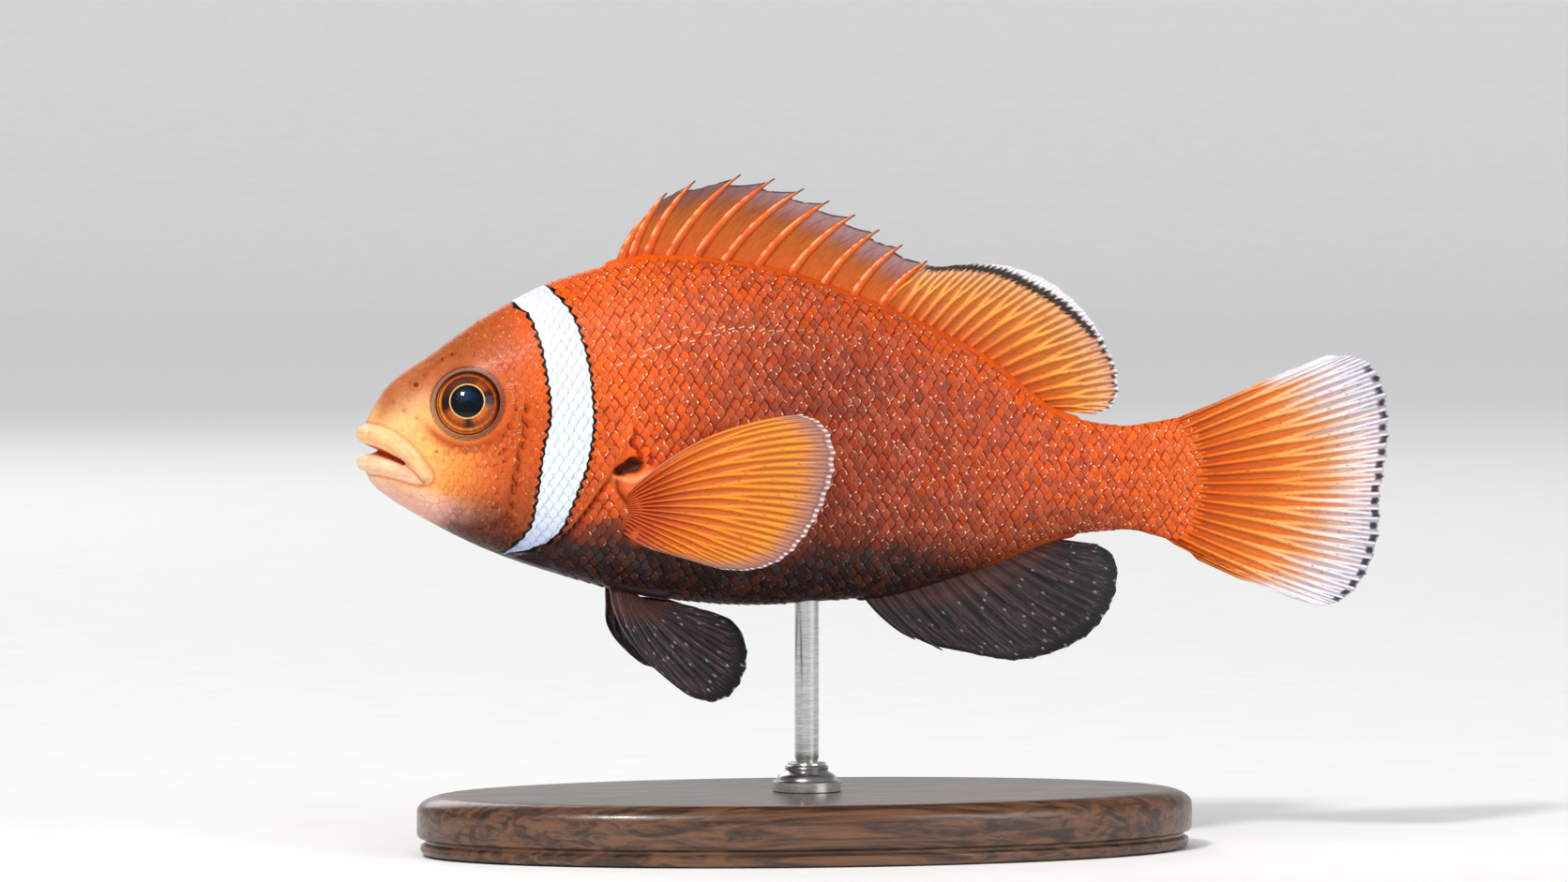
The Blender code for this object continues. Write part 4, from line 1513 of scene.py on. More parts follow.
@dataclass
class Skin:
    """One skin over the head, jaws, gill covers, trunk and tail stalk, with the bases of the fins.

    Attributes:
        form: The trunk's shape.
        relief: The folds of the flesh.
        markings: Its colours.
        eye: Where the eyes sit.
        upper_lip: The upper lip.
        lower_lip: The lower lip.
        voxel: The mesh's fineness, in millimetres.
        sides: Points round each section before remeshing.
        socket: Radius of the eye's opening.
    """

    form: FishForm
    relief: Relief
    markings: Markings
    eye: EyePlace
    upper_lip: Lip
    lower_lip: Lip
    voxel: float = 0.16
    sides: int = 144
    socket: float = 3.14

    def body(self) -> Shape:
        """The plain trunk.

        Returns:
            A closed loft.
        """
        behinds = np.concatenate((np.arange(0.7, 8.0, 0.14), np.arange(8.0, 86.6, 0.4)))
        rings = np.stack([self.form.ring(b, circle(self.sides)) for b in behinds])
        rings[..., 0] = np.minimum(rings[..., 0], behind_at(self.form.tail_arc, rings[..., 2]) + 0.9)
        return lofted(rings)

    def mouth_cutter(self) -> Shape:
        """The opening between the lips: a groove round the front, deepest in the middle.

        Returns:
            A closed loft, to be cut out.
        """
        turns = np.radians(np.linspace(-86, 86, 61))
        back = 1 - np.cos(turns)
        deep, tall = 1.7 - 0.5 * back, 0.6 * (1 - 0.75 * back)
        middle = np.stack((0.75 + 5.3 * back, -3.75 * np.sin(turns), 1.38 - 2.15 * back**1.1), axis=1)
        out = np.stack((-np.cos(turns), -np.sin(turns), np.zeros(61)), axis=1)
        rings = (middle[:, None] + out[:, None] * (deep[:, None] * np.cos(circle(16)))[..., None]
                 + np.array((0, 0, 1.0)) * (tall[:, None] * np.sin(circle(16)))[..., None])
        return lofted(rings)

    def folds(self) -> Iterator[Shape]:
        """The lips, the rolls behind them, the rings round the eyes and the fleshy bases of the fins.

        Yields:
            Each as a closed shape.
        """
        for lip in (self.upper_lip, self.lower_lip):
            path, radii = lip.path()
            yield lofted(tube_rings(path, radii - 0.03))
        path, _ = self.upper_lip.path(81)
        for part in (path[:20], path[-20:]):
            behind, height = part[:, 0] + 0.85, part[:, 2] - 0.1
            depth = self.form.side_depth(behind, height) - 0.18
            roll = np.stack((behind, np.sign(part[:, 1]) * depth, height), axis=1)
            yield lofted(tube_rings(roll, 0.4 * np.sin(np.linspace(0.15, math.pi - 0.15, 20)) ** 0.5))
        for side in Side:
            spokes, look = self.eye.spokes(side, circle(96)), self.eye.axis(side)
            centre = self.eye.centre(self.form, side) + look * 0.92
            ring = np.stack([centre + spokes * (3.36 + 0.22 * math.cos(a)) + look * 0.24 * math.sin(a)
                             for a in circle(16)], axis=1)
            yield ring.reshape(-1, 3), [grid_faces(96, 16, closed=True, looped=True)]
        for behinds, line, radius, drop in (
                (np.linspace(25.4, 72.4, 90), self.form.back, 0.56, 0.2),
                (np.linspace(50.6, 72.0, 60), self.form.belly, 0.55, -0.2)):
            path = np.stack((behinds, np.zeros(len(behinds)), line(behinds) - drop), axis=1)
            yield lofted(tube_rings(path, radius, flat=1.25))
        behinds = np.linspace(24.8, 30.6, 30)
        for side in Side:
            across = np.full(30, side.value * 1.75)
            path = np.stack((behinds, across, self.form.belly(behinds) + 0.75), axis=1)
            yield lofted(tube_rings(path, np.linspace(0.6, 0.85, 30), flat=1.3))

    def sockets(self) -> Shape:
        """The hollows that the eyes sit in.

        Returns:
            Two closed lofts, to be cut out.
        """
        shapes = []
        for side in Side:
            centre, look = self.eye.centre(self.form, side), self.eye.axis(side)
            spokes = self.eye.spokes(side, circle(64)) * self.socket
            shapes.append(lofted(np.stack([centre + look * depth + spokes * share for depth, share in (
                (-2.7, 0.3), (-2.5, 0.72), (-1.8, 0.92), (-0.9, 1.0), (0.6, 1.0), (4.0, 1.0))])))
        return joined(shapes)

    @staticmethod
    def cut(piece: Piece, cutter: Piece) -> None:
        """Cuts one mesh out of another, as a modifier."""
        change = piece.modifiers.new(cutter.name, "BOOLEAN")
        change.operation, change.solver, change.object = "DIFFERENCE", "EXACT", cutter

    def fuse(self, piece: Piece) -> None:
        """Makes crossing shapes one surface, as a modifier."""
        change = piece.modifiers.new("fused", "REMESH")
        change.mode, change.voxel_size, change.adaptivity = "VOXEL", self.voxel, 0.0

    def build(self, frame: FishFrame) -> Piece:
        """Builds and paints the skin.

        Args:
            frame: Places the fish in the model.

        Returns:
            The skin, in metres.
        """
        body, extra, mouth, sockets = (add_mesh(f"skin_{part}", *shape) for part, shape in (
            ("body", self.body()), ("folds", joined(list(self.folds()))), ("mouth", self.mouth_cutter()),
            ("sockets", self.sockets())))
        for piece in (body, extra, mouth, sockets):
            outward(piece)
        self.cut(body, mouth)
        apply_modifiers(body)
        faces = [self.triangles_of(body), self.triangles_of(extra) + len(body.data.vertices)]
        skin = add_mesh("skin", np.concatenate((points_of(body), points_of(extra))), faces)
        self.fuse(skin)
        apply_modifiers(skin)
        self.cut(skin, sockets)
        self.fuse(skin)
        soften = skin.modifiers.new("soften", "SMOOTH")
        soften.factor, soften.iterations = 0.5, 3
        apply_modifiers(skin)
        for piece in (body, extra, mouth, sockets):
            bpy.data.objects.remove(piece)
        self.drop_islands(skin)
        skin.data.shade_smooth()
        set_points(skin, self.raised(points_of(skin), normals_of(skin)))
        paint_points(skin, self.markings.skin(points_of(skin)))
        set_points(skin, frame.to_world(points_of(skin)))
        return skin

    def raised(self, points: Array, normals: Array) -> Array:
        """Lays the relief on the sides of the smooth skin.

        Args:
            points: Its points.
            normals: The surface's direction at each.

        Returns:
            The points, moved.
        """
        behind, side, height = points.T
        outwards = np.abs(normals[:, 1]) * fade(np.abs(side), 1.0, 2.0)
        outwards = outwards * fade(self.form.side_depth(behind, height) - np.abs(side), 1.4, 0.7)
        return points + normals * (self.relief.lift(behind, height) * fade(outwards, 0.2, 0.6))[:, None]

    @staticmethod
    def triangles_of(piece: Piece) -> Array:
        """The mesh's triangles.

        Args:
            piece: The object.

        Returns:
            Three points' numbers for each.
        """
        piece.data.calc_loop_triangles()
        found = np.empty(len(piece.data.loop_triangles) * 3, np.int32)
        piece.data.loop_triangles.foreach_get("vertices", found)
        return found.reshape(-1, 3)

    @staticmethod
    def drop_islands(piece: Piece) -> None:
        """Keeps only the largest connected part of the mesh.

        Args:
            piece: The object to clean.
        """
        edges = np.empty(len(piece.data.edges) * 2, np.int32)
        piece.data.edges.foreach_get("vertices", edges)
        first, second = edges.reshape(-1, 2).T
        label, before = np.arange(len(piece.data.vertices)), None
        while before is None or (label != before).any():
            before = label.copy()
            lowest = np.minimum(label[first], label[second])
            np.minimum.at(label, first, lowest)
            np.minimum.at(label, second, lowest)
            label = label[label]
        names, counts = np.unique(label, return_counts=True)
        work = bmesh.new()
        work.from_mesh(piece.data)
        work.verts.ensure_lookup_table()
        stray = np.flatnonzero(label != names[np.argmax(counts)])
        bmesh.ops.delete(work, geom=[work.verts[i] for i in stray], context="VERTS")
        work.to_mesh(piece.data)
        work.free()


# ---------------------------------------------------------------- scales


@dataclass
class Unrolled:
    """The right side of the fish unrolled: points and directions by place behind the lips and distance round.

    The distance round the section is measured from its widest line, upwards positive. Past the ridge of the
    back or the keel of the belly it goes on over the other side.

    Attributes:
        form: The trunk's shape.
        step: Distance between the tables' places.
        reach: How far the tables go up and down from the widest line.
        start: How far behind the lips they start.
        end: Where they end.
    """

    form: FishForm
    step: float = 0.25
    reach: float = 30.0
    start: float = 1.0
    end: float = 86.5

    def __post_init__(self) -> None:
        """Fills the tables."""
        self.behinds = np.arange(self.start, self.end, self.step)
        self.arcs = np.arange(-self.reach, self.reach + self.step, self.step)
        turns = np.linspace(-1.3, math.pi + 1.3, 481)
        table, limits = [], []
        for behind in self.behinds:
            ring = self.form.ring(behind, turns)
            steps = lengths(ring)
            zero = np.interp(math.pi / 2, turns, steps)
            table.append(np.stack([np.interp(zero - self.arcs, steps, column) for column in ring.T], axis=1))
            limits.append((zero - np.interp(0.0, turns, steps), np.interp(math.pi, turns, steps) - zero))
        self.points = np.stack(table)
        self.limits = np.array(limits)
        self.normals = unit(np.cross(np.gradient(self.points, axis=1), np.gradient(self.points, axis=0)))

    def read(self, table: Array, behind: Array, arc: Array) -> Array:
        """A table's values at places between its own.

        Args:
            table: Values by place behind the lips and distance round.
            behind: How far behind the lips.
            arc: Distances round the section.

        Returns:
            A value for each place.
        """
        i = np.clip((behind - self.start) / self.step, 0, len(self.behinds) - 1.001)
        j = np.clip((arc + self.reach) / self.step, 0, len(self.arcs) - 1.001)
        i0, j0 = i.astype(int), j.astype(int)
        s, t = (i - i0)[..., None], (j - j0)[..., None]
        return ((table[i0, j0] * (1 - s) + table[i0 + 1, j0] * s) * (1 - t)
                + (table[i0, j0 + 1] * (1 - s) + table[i0 + 1, j0 + 1] * s) * t)

    def at(self, behind: Array, arc: Array) -> tuple[Array, Array]:
        """Points of the surface, and the directions out of it."""
        return self.read(self.points, behind, arc), unit(self.read(self.normals, behind, arc))

    def limit(self, behind: Array) -> tuple[Array, Array]:
        """Distances from the widest line up to the back and down to the belly."""
        return (np.interp(behind, self.behinds, self.limits[:, 0]),
                np.interp(behind, self.behinds, self.limits[:, 1]))


@dataclass
class Scales:
    """The coat of scales over one side, in staggered rows that follow the body.

    Attributes:
        form: The trunk's shape.
        relief: The folds that scales leave bare.
        markings: Their colours.
        eye: Where the eyes sit.
        column_step: Distance between neighbouring columns on the flank.
        row_step: Distance between neighbours in a column.
        slope: How steeply a scale rises towards its free edge.
        head_slope: The same on the head.
        across: Points across a scale.
        lines: Shares of its length where its rows of points are.
        head_share: The scales' size on the head, as a share of those on the flank.
        rod_behind: How far behind the lips the stand's rod is.
    """

    form: FishForm
    relief: Relief
    markings: Markings
    eye: EyePlace
    column_step: float = 0.5
    row_step: float = 1.56
    slope: float = 0.1
    head_slope: float = 0.045
    across: int = 9
    lines: tuple[float, ...] = (0.0, 0.3, 0.55, 0.78, 0.92, 1.0)
    head_share: float = 0.9
    rod_behind: float = ROD_BEHIND

    def __post_init__(self) -> None:
        """Unrolls the body's surface."""
        self.hide = Unrolled(self.form)

    def size_at(self, behind: Array | float) -> Array:
        """The scales' size, as a share of those on the flank."""
        grown = (1 - self.head_share) * fade(behind, 10.0, 27.0)
        return self.head_share + grown - 0.07 * fade(behind, 62, 80)

    def roots(self) -> tuple[Array, Array, Array, Array]:
        """Where the scales' middles are: behind, distance round, size and a random number each.

        Returns:
            Four numbers for each scale.
        """
        behinds, arcs, sizes = [], [], []
        behind, column = 5.0, 0
        while behind < 86.5:
            size = float(self.size_at(behind))
            up, down = self.hide.limit(np.array(behind))
            row = self.row_step * size
            count = int(30 / row) + 2
            places = (np.arange(-count, count) + 0.5 * (column % 2)) * row
            kept = places[(places < up - 0.1) & (places > -down + 0.15)]
            behinds.append(np.full(len(kept), behind))
            arcs.append(kept)
            sizes.append(np.full(len(kept), size))
            behind += self.column_step * size
            column += 1
        behinds, arcs, sizes = (np.concatenate(v) for v in (behinds, arcs, sizes))
        luck = speckle(behinds, arcs)
        loose = 0.5 + 0.5 * fade(behinds, 20.0, 25.0)
        behinds = behinds + 0.2 * (luck - 0.5) * sizes * loose
        arcs = arcs + 0.28 * (speckle(arcs, behinds) - 0.5) * sizes * loose
        sizes = sizes * (0.94 + 0.14 * speckle(luck, arcs))
        kept = self.scaled(behinds, arcs)
        return behinds[kept], arcs[kept], sizes[kept], luck[kept]

    def scaled(self, behind: Array, arc: Array) -> Array:
        """Which places carry a scale.

        Args:
            behind: How far behind the lips.
            arc: Distances round the section.

        Returns:
            True or false for each place.
        """
        _, side, height = self.hide.at(behind, arc)[0].T
        up, down = self.hide.limit(behind)
        gill, share = line_distance(behind, height, self.relief.gill_edge)
        gill_open = (gill > -0.3) & (gill < 0.7) & (share > 0.28) & (share < 0.93)
        fold, share = line_distance(behind, height, self.relief.cheek_fold)
        folded = (fold > -0.6) & (fold < 0.25) & (share > 0.1) & (share < 0.95)
        eye = self.eye.away(behind, height) < 4.55
        arm = self.relief.arm_bare(behind, height)
        hole_behind, hole_height = self.relief.arm_hole
        hole = np.hypot((behind - hole_behind) / 2.0, (height - hole_height) / 1.75) < 1
        ridge = (arc > up - 0.65) & (behind > 25.0) & (behind < 73.0)
        keel = (arc < -down + 0.7) & (behind > 50.0) & (behind < 72.5)
        pelvic = (behind > 25.0) & (behind < 30.8) & (arc < -down + 2.2) & (arc > -down + 1.0)
        rod = (np.abs(behind - self.rod_behind) < 2.3) & (np.abs(side) < 1.9) & (arc < 0)
        tail = behind > behind_at(self.form.tail_arc, height) - 0.3
        muzzle = behind < np.where(height > 6.0, 6.8, 7.4 + 0.1 * np.abs(height + 1.0))
        chin = (behind < 8.6) & (height < -3.4)
        return ~(gill_open | folded | eye | arm | hole | ridge | keel | pelvic | rod | tail | muzzle | chin)

    def pattern(self) -> tuple[Array, Array, Array]:
        """One scale's grid, closed below by a fan.

        Returns:
            Each point's distance from the root and across the scale, as shares, and the triangles.
        """
        s, t = (v.ravel() for v in np.meshgrid(self.lines, np.linspace(-1, 1, self.across), indexing="ij"))
        top = grid_faces(len(self.lines), self.across)[:, ::-1]
        rim = grid_rim(len(self.lines), self.across)
        under = np.stack((np.full(len(rim), len(s)), rim, np.roll(rim, -1)), axis=1)
        faces = np.concatenate((top[:, [0, 1, 2]], top[:, [0, 2, 3]], under))
        return np.append(s, 0.5), np.append(t, 0.0), faces

    def build(self, side: Side, frame: FishFrame, name: str, behind_from: float, behind_to: float) -> Piece:
        """Builds the scales of one stretch of one side.

        Args:
            side: Which side of the fish.
            frame: Places the fish in the model.
            name: The piece's name.
            behind_from: Where the stretch starts.
            behind_to: Where it ends.

        Returns:
            The coat piece, with its OFBake map.
        """
        behind, arc, size, luck = self.roots()
        chosen = (behind >= behind_from) & (behind < behind_to)
        behind, arc, size, luck = (v[chosen][:, None] for v in (behind, arc, size, luck))
        s, t, faces = self.pattern()
        under = np.arange(len(s)) == len(s) - 1
        wide = 0.5 * self.row_step * size * 1.07
        long = 2.78 * self.column_step * size
        wobble = speckle(behind * 3.1, arc, luck)
        lean = 0.4 * (wobble - 0.5)
        forward = long * (s * (1 - 0.52 * np.abs(t) ** 1.7) + (1 - s) * 0.12 * t**2) - 0.62 * long
        sideways = wide * t * (0.7 + 0.3 * fade(s, 0.0, 0.5))
        over = behind + forward - sideways * lean
        round_arc = arc + (sideways + forward * lean)
        points, normals = self.hide.at(over, round_arc)
        reach = forward + 0.62 * long
        slope = self.head_slope + (self.slope - self.head_slope) * fade(behind, 15.0, 24.0)
        height = -0.03 + slope * reach * (0.85 + 0.3 * wobble) - 0.055 * size * t**2
        height = np.where(under, -0.05, height)
        roots = np.broadcast_to(behind, over.shape)
        lift = self.relief.lift(roots.ravel(), points[..., 2].ravel()).reshape(over.shape)
        middle = self.relief.lift(behind.ravel(), self.hide.at(behind, arc)[0][..., 2].ravel())
        loose = 0.03 + 0.04 * fade(behind, 16.0, 24.0)
        lift = np.clip(lift, middle[:, None] - loose, middle[:, None] + loose)
        points = points + normals * (height + lift)[..., None]
        values = self.paint(behind, arc, luck, s, t)
        count, each = over.shape
        all_faces = (faces[None] + (np.arange(count) * each)[:, None, None]).reshape(-1, 3)
        flat = points.reshape(-1, 3)
        if side is Side.LEFT:
            flat = flat * (1, -1, 1)
            all_faces = all_faces[:, ::-1]
        values["scale_lie"] = np.stack(np.broadcast_arrays(s + 0 * luck, t, luck), axis=-1).reshape(-1, 3)
        values["bar_lie"] = self.markings.bar_lie(points[..., 0].ravel(), points[..., 2].ravel())
        made = add_mesh(name, frame.to_world(flat), [all_faces], values)
        u = (0.02 if side is Side.LEFT else 0.52) + 0.46 * behind / 90 + 0.003 * (s - 0.5)
        v = 0.02 + 0.96 * (arc + 24) / 48 + 0.0015 * t
        corners = np.stack(np.broadcast_arrays(u, v), axis=-1).reshape(-1, 2)[all_faces.ravel()]
        patch = made.data.uv_layers.new(name="OFBake")
        patch.uv.foreach_set("vector", corners.astype(np.float32).ravel())
        return made

    def paint(self, behind: Array, arc: Array, luck: Array, s: Array, t: Array) -> dict[str, Array]:
        """What is painted on the scales.

        Args:
            behind: How far behind the lips each scale's middle is, one per row.
            arc: Its distance round the section.
            luck: Its random number.
            s: Distances of a scale's points from its root, as shares.
            t: Their distances across it.

        Returns:
            Values for the scales' finish on every point, by name.
        """
        height = self.hide.at(behind, arc)[0][:, 0, 2]
        base = self.markings.flesh(behind[:, 0], height, 1.3 * (luck[:, 0] - 0.5))[:, None]
        strength = 0.12 + 0.38 * fade(behind, 8.0, 14.0) + 0.5 * fade(behind, 19.0, 25.0)
        kind = speckle(arc * 1.7, luck * 3)[..., None]
        sheen = np.where(kind < 0.42, rgb(188, 94, 68),
                         np.where(kind < 0.7, rgb(122, 66, 60), base * (1.22, 1.24, 0.9)))
        warm = fade(base[..., 0], 0.04, 0.3) * fade(behind, 84.0, 72.0) * strength
        warm = warm * (0.2 + 0.25 * fade(behind, 26.0, 38.0)) * fade(s, 0.3, 0.6) * (1 - 0.5 * np.abs(t))
        # Painted sheen: brown or blue grey on some of the dark belly's scales.
        dark_scale_sheen = fade(base[..., 0], 0.12, 0.03) * (kind[..., 0] < 0.45) * 0.4
        paint = layered(base, (sheen, warm), (np.where(kind < 0.3, rgb(100, 50, 36), rgb(68, 62, 70)), dark_scale_sheen))
        paint = paint * (0.9 + 0.22 * luck[..., None] * strength[..., None])
        away, _ = line_distance(behind[:, 0], height, self.relief.lateral)
        dash = fade(np.abs(away), 0.42, 0.34) * fade(behind[:, 0], 50.0, 34.0) * 0.55
        return {"paint": np.clip(paint, 0, 1).reshape(-1, 3), "strength": (strength + 0 * t).ravel(),
                "lateral": (dash[:, None] + 0 * t).ravel()}


# ---------------------------------------------------------------- fins


@dataclass(frozen=True)
class FinStyle:
    """How a fin's sheet is made.

    Attributes:
        web: Half the web's thickness.
        ray: Half the thickness of a ray at its root.
        columns: Points between one ray and the next.
        rows: Points along a ray.
        branches: Shares of the length where each ray splits in two and in four.
        sink: How far the sheet goes on into the body.
        wave: How far the sheet bends sideways.
        scallop: How far the web ends short of the rays, as a share of their length.
    """

    web: float = 0.09
    ray: float = 0.36
    columns: int = 16
    rows: int = 64
    branches: tuple[float, float] = (0.34, 0.66)
    sink: float = 1.2
    wave: float = 0.3
    scallop: float = 0.014


@dataclass
class Fin:
    """A fin as one closed sheet over its rays.

    Attributes:
        name: The piece's name, and the solid that it replaces.
        roots: The rays' roots, as (behind, height).
        tips: Their tips.
        bows: How far each ray bends, as a share of its length.
        colour: Gives the colour from the sheet's measures.
        lift: Places (behind, height) points in the fish.
        style: How the sheet is made.
        spines: How many of the first rays are hard spines.
        fall: How far the web starts below a spine's tip.
        rise: How far under the next spine's tip it ends.
    """

    name: str
    roots: Array
    tips: Array
    bows: Array
    colour: Callable[[Sheet], Array]
    lift: Callable[[Array, Array], Array] | None = None
    style: FinStyle = field(default_factory=FinStyle)
    spines: int = 0
    fall: float = 0.15
    rise: float = 0.05

    def line(self, at: Array, share: Array) -> Array:
        """Points of the sheet's middle at places between the rays and shares of their length.

        Args:
            at: Places between the rays.
            share: Shares of the rays' length.

        Returns:
            Fish points.
        """
        number = np.arange(len(self.roots))
        root, tip = (np.stack([smooth(at, number, v[:, k]) for k in range(2)], axis=-1)
                     for v in (self.roots, self.tips))
        run = tip - root
        bow = np.interp(at, number, self.bows)
        side = np.stack((-run[..., 1], run[..., 0]), axis=-1)
        flat = root + run * share[..., None] + side * (bow * 4 * share * (1 - share))[..., None]
        if self.lift is None:
            bend = self.style.wave * np.sin(at * 0.9 + share * 2.2) * np.clip(share, 0, 1) ** 1.5
            return np.stack((flat[..., 0], bend, flat[..., 1]), axis=-1)
        return self.lift(flat, root)

    def sheet(self) -> Sheet:
        """Measures the sheet: its grid, its edge and how much of a ray is at each place.

        Returns:
            The measures.
        """
        style, intervals = self.style, len(self.roots) - 1
        part = (np.arange(style.columns) + 0.5) / style.columns
        at = np.concatenate(([0.0], (np.arange(intervals)[:, None] + part).ravel(), [intervals - 1e-6]))
        gap = at % 1.0
        hard = np.floor(at) < self.spines - 1
        soft_reach = 1 - style.scallop * (np.sin(math.pi * gap) ** 0.6 + 0.6 * speckle(np.floor(at)))
        hard_reach = 1 - self.fall + (self.fall - self.rise) * gap**1.25 - 0.035 * np.sin(math.pi * gap)
        reach = np.where(hard, hard_reach, soft_reach)
        last_web = (np.floor(at) < self.spines) & ~hard
        reach = np.where(last_web, 1 - 0.6 * self.fall * (1 - gap) - style.scallop, reach)
        length = np.linalg.norm(self.line(at, np.ones(len(at))) - self.line(at, np.zeros(len(at))), axis=-1)
        along = np.linspace(0, 1, style.rows) ** 0.92
        share = along * (reach + style.sink / length)[:, None] - (style.sink / length)[:, None]
        grid_at = np.broadcast_to(at[:, None], share.shape)
        middle = self.line(grid_at, share)
        left = self.line(np.clip(grid_at - 0.25, 0, intervals), share)
        right = self.line(np.clip(grid_at + 0.25, 0, intervals), share)
        spacing = 2 * np.linalg.norm(right - left, axis=-1)
        ray, thick = self.rays(grid_at, share, spacing, hard[:, None])
        edge = (reach[:, None] - share) * length[:, None]
        thick = thick * (0.25 + 0.75 * fade(edge, 0.0, 0.8))
        return Sheet(grid_at, share, middle, edge, ray, thick, length[:, None] + 0 * share, spacing)

    def rays(self, at: Array, share: Array, spacing: Array, hard: Array) -> tuple[Array, Array]:
        """How much of a ray is at each place, from 0 to 1, and half the sheet's thickness there.

        Args:
            at: Places between the rays.
            share: Shares of the rays' length.
            spacing: Distances between rays.
            hard: Whether a place lies between spines.

        Returns:
            Both, for each place.
        """
        style = self.style
        near = at - np.round(at)
        first, second = (fade(share, b - 0.03, b + 0.3) for b in style.branches)
        offsets = [sign * 0.25 * first + twin * 0.125 * second for sign in (-1, 1) for twin in (-1, 1)]
        away = np.min([np.abs(near - o) for o in offsets], axis=0) * spacing
        width = (0.34 - 0.1 * first - 0.1 * second) * np.clip(spacing / 1.3, 0.45, 1.15)
        ray = np.where(hard, 0.0, np.exp(-((away / width) ** 2) * 1.3))
        fat = style.ray * (1 - 0.42 * first - 0.22 * second) * (1 - 0.25 * np.clip(share, 0, 1))
        return ray, style.web + np.maximum(fat - style.web, 0.02) * ray

    def build(self, frame: FishFrame, finish: Finish, slot: Slot) -> Piece:
        """Builds, paints and places the fin.

        Args:
            frame: Places the fish in the model.
            finish: Its material.
            slot: The record's slot that it takes its finish from.

        Returns:
            The fin, in metres.
        """
        sheet = self.sheet()
        normals = unit(np.cross(np.gradient(sheet.middle, axis=0), np.gradient(sheet.middle, axis=1)))
        columns, rows = sheet.share.shape
        near, far = (sheet.middle + sign * normals * sheet.thick[..., None] for sign in (1, -1))
        shapes = [(np.concatenate((near.reshape(-1, 3), far.reshape(-1, 3))), self.shell(columns, rows))]
        paint = np.clip(self.colour(sheet), 0, 1).reshape(-1, 3)
        lie = np.stack((sheet.at * 2.0, sheet.share * sheet.length, 0 * sheet.at), axis=-1).reshape(-1, 3)
        values = {"paint": [paint] * 2, "fin_lie": [lie] * 2, "ray": [sheet.ray.ravel()] * 2}
        for number in range(self.spines):
            share = np.linspace(-0.08, 1.0, 40)
            path = self.line(np.full(40, float(number)), share)
            radii = np.interp(share, (-0.08, 0.1, 0.75, 1.0), (0.5, 0.46, 0.27, 0.07)) * self.style.ray / 0.42
            shapes.append(lofted(tube_rings(path, radii, 16, 3)))
            stations = np.clip(np.concatenate(([-0.1] * 3, share, [1.0] * 3)), 0, 1)
            spot = np.append(np.repeat(stations, 16), (0, 1))
            lit = np.append(np.tile(hump(np.sin(np.arange(16) * math.pi / 8), 0.71, 0.25), 46), (0, 0))
            values["paint"].append(self.colour(Sheet.spine(number, spot, lit)).reshape(-1, 3))
            values["fin_lie"].append(np.stack((0 * spot + number, spot * 8, 0 * spot), axis=1))
            values["ray"].append(np.zeros(len(spot)))
        points, faces = joined(shapes)
        made = add_mesh(self.name, frame.to_world(points), faces,
                        {key: np.concatenate(parts) for key, parts in values.items()})
        outward(made)
        made.name = made.data.name = f"{self.name}_sheet"
        place(made, finish, slot, [self.name])
        return made

    @staticmethod
    def shell(columns: int, rows: int) -> list[Array]:
        """Faces of a closed sheet: both sides of the grid and the strip round it.

        Args:
            columns: Points across the rays.
            rows: Points along them.

        Returns:
            The faces, for add_mesh().
        """
        near, total = grid_faces(columns, rows), columns * rows
        rim = grid_rim(columns, rows)
        following = np.roll(rim, -1)
        strip = np.stack((rim, following, following + total, rim + total), axis=1)
        return [near, near[:, ::-1] + total, strip]


@dataclass
class Sheet:
    """A fin's sheet, measured on its grid.

    Attributes:
        at: Place between the rays, in rays.
        share: Share of the ray's length.
        middle: The sheet's middle points.
        edge: Distance from the free edge.
        ray: How much of a ray is there.
        thick: Half the thickness.
        length: The ray's length there.
        spacing: Distance between rays there.
        hard: Whether this is a spine and not the sheet.
    """

    at: Array
    share: Array
    middle: Array
    edge: Array
    ray: Array
    thick: Array
    length: Array
    spacing: Array
    hard: bool = False

    @classmethod
    def spine(cls, number: int, share: Array, lit: Array) -> Sheet:
        """The measures along a hard spine, with its lit side given as the ray.

        Args:
            number: Which spine.
            share: Shares of its length.
            lit: How far each point is on its lit side.

        Returns:
            The measures.
        """
        ones, middle = np.ones(len(share)), np.zeros((len(share), 3))
        return cls(number * ones, share, middle, (1 - share) * 8, lit, ones, ones, ones, hard=True)


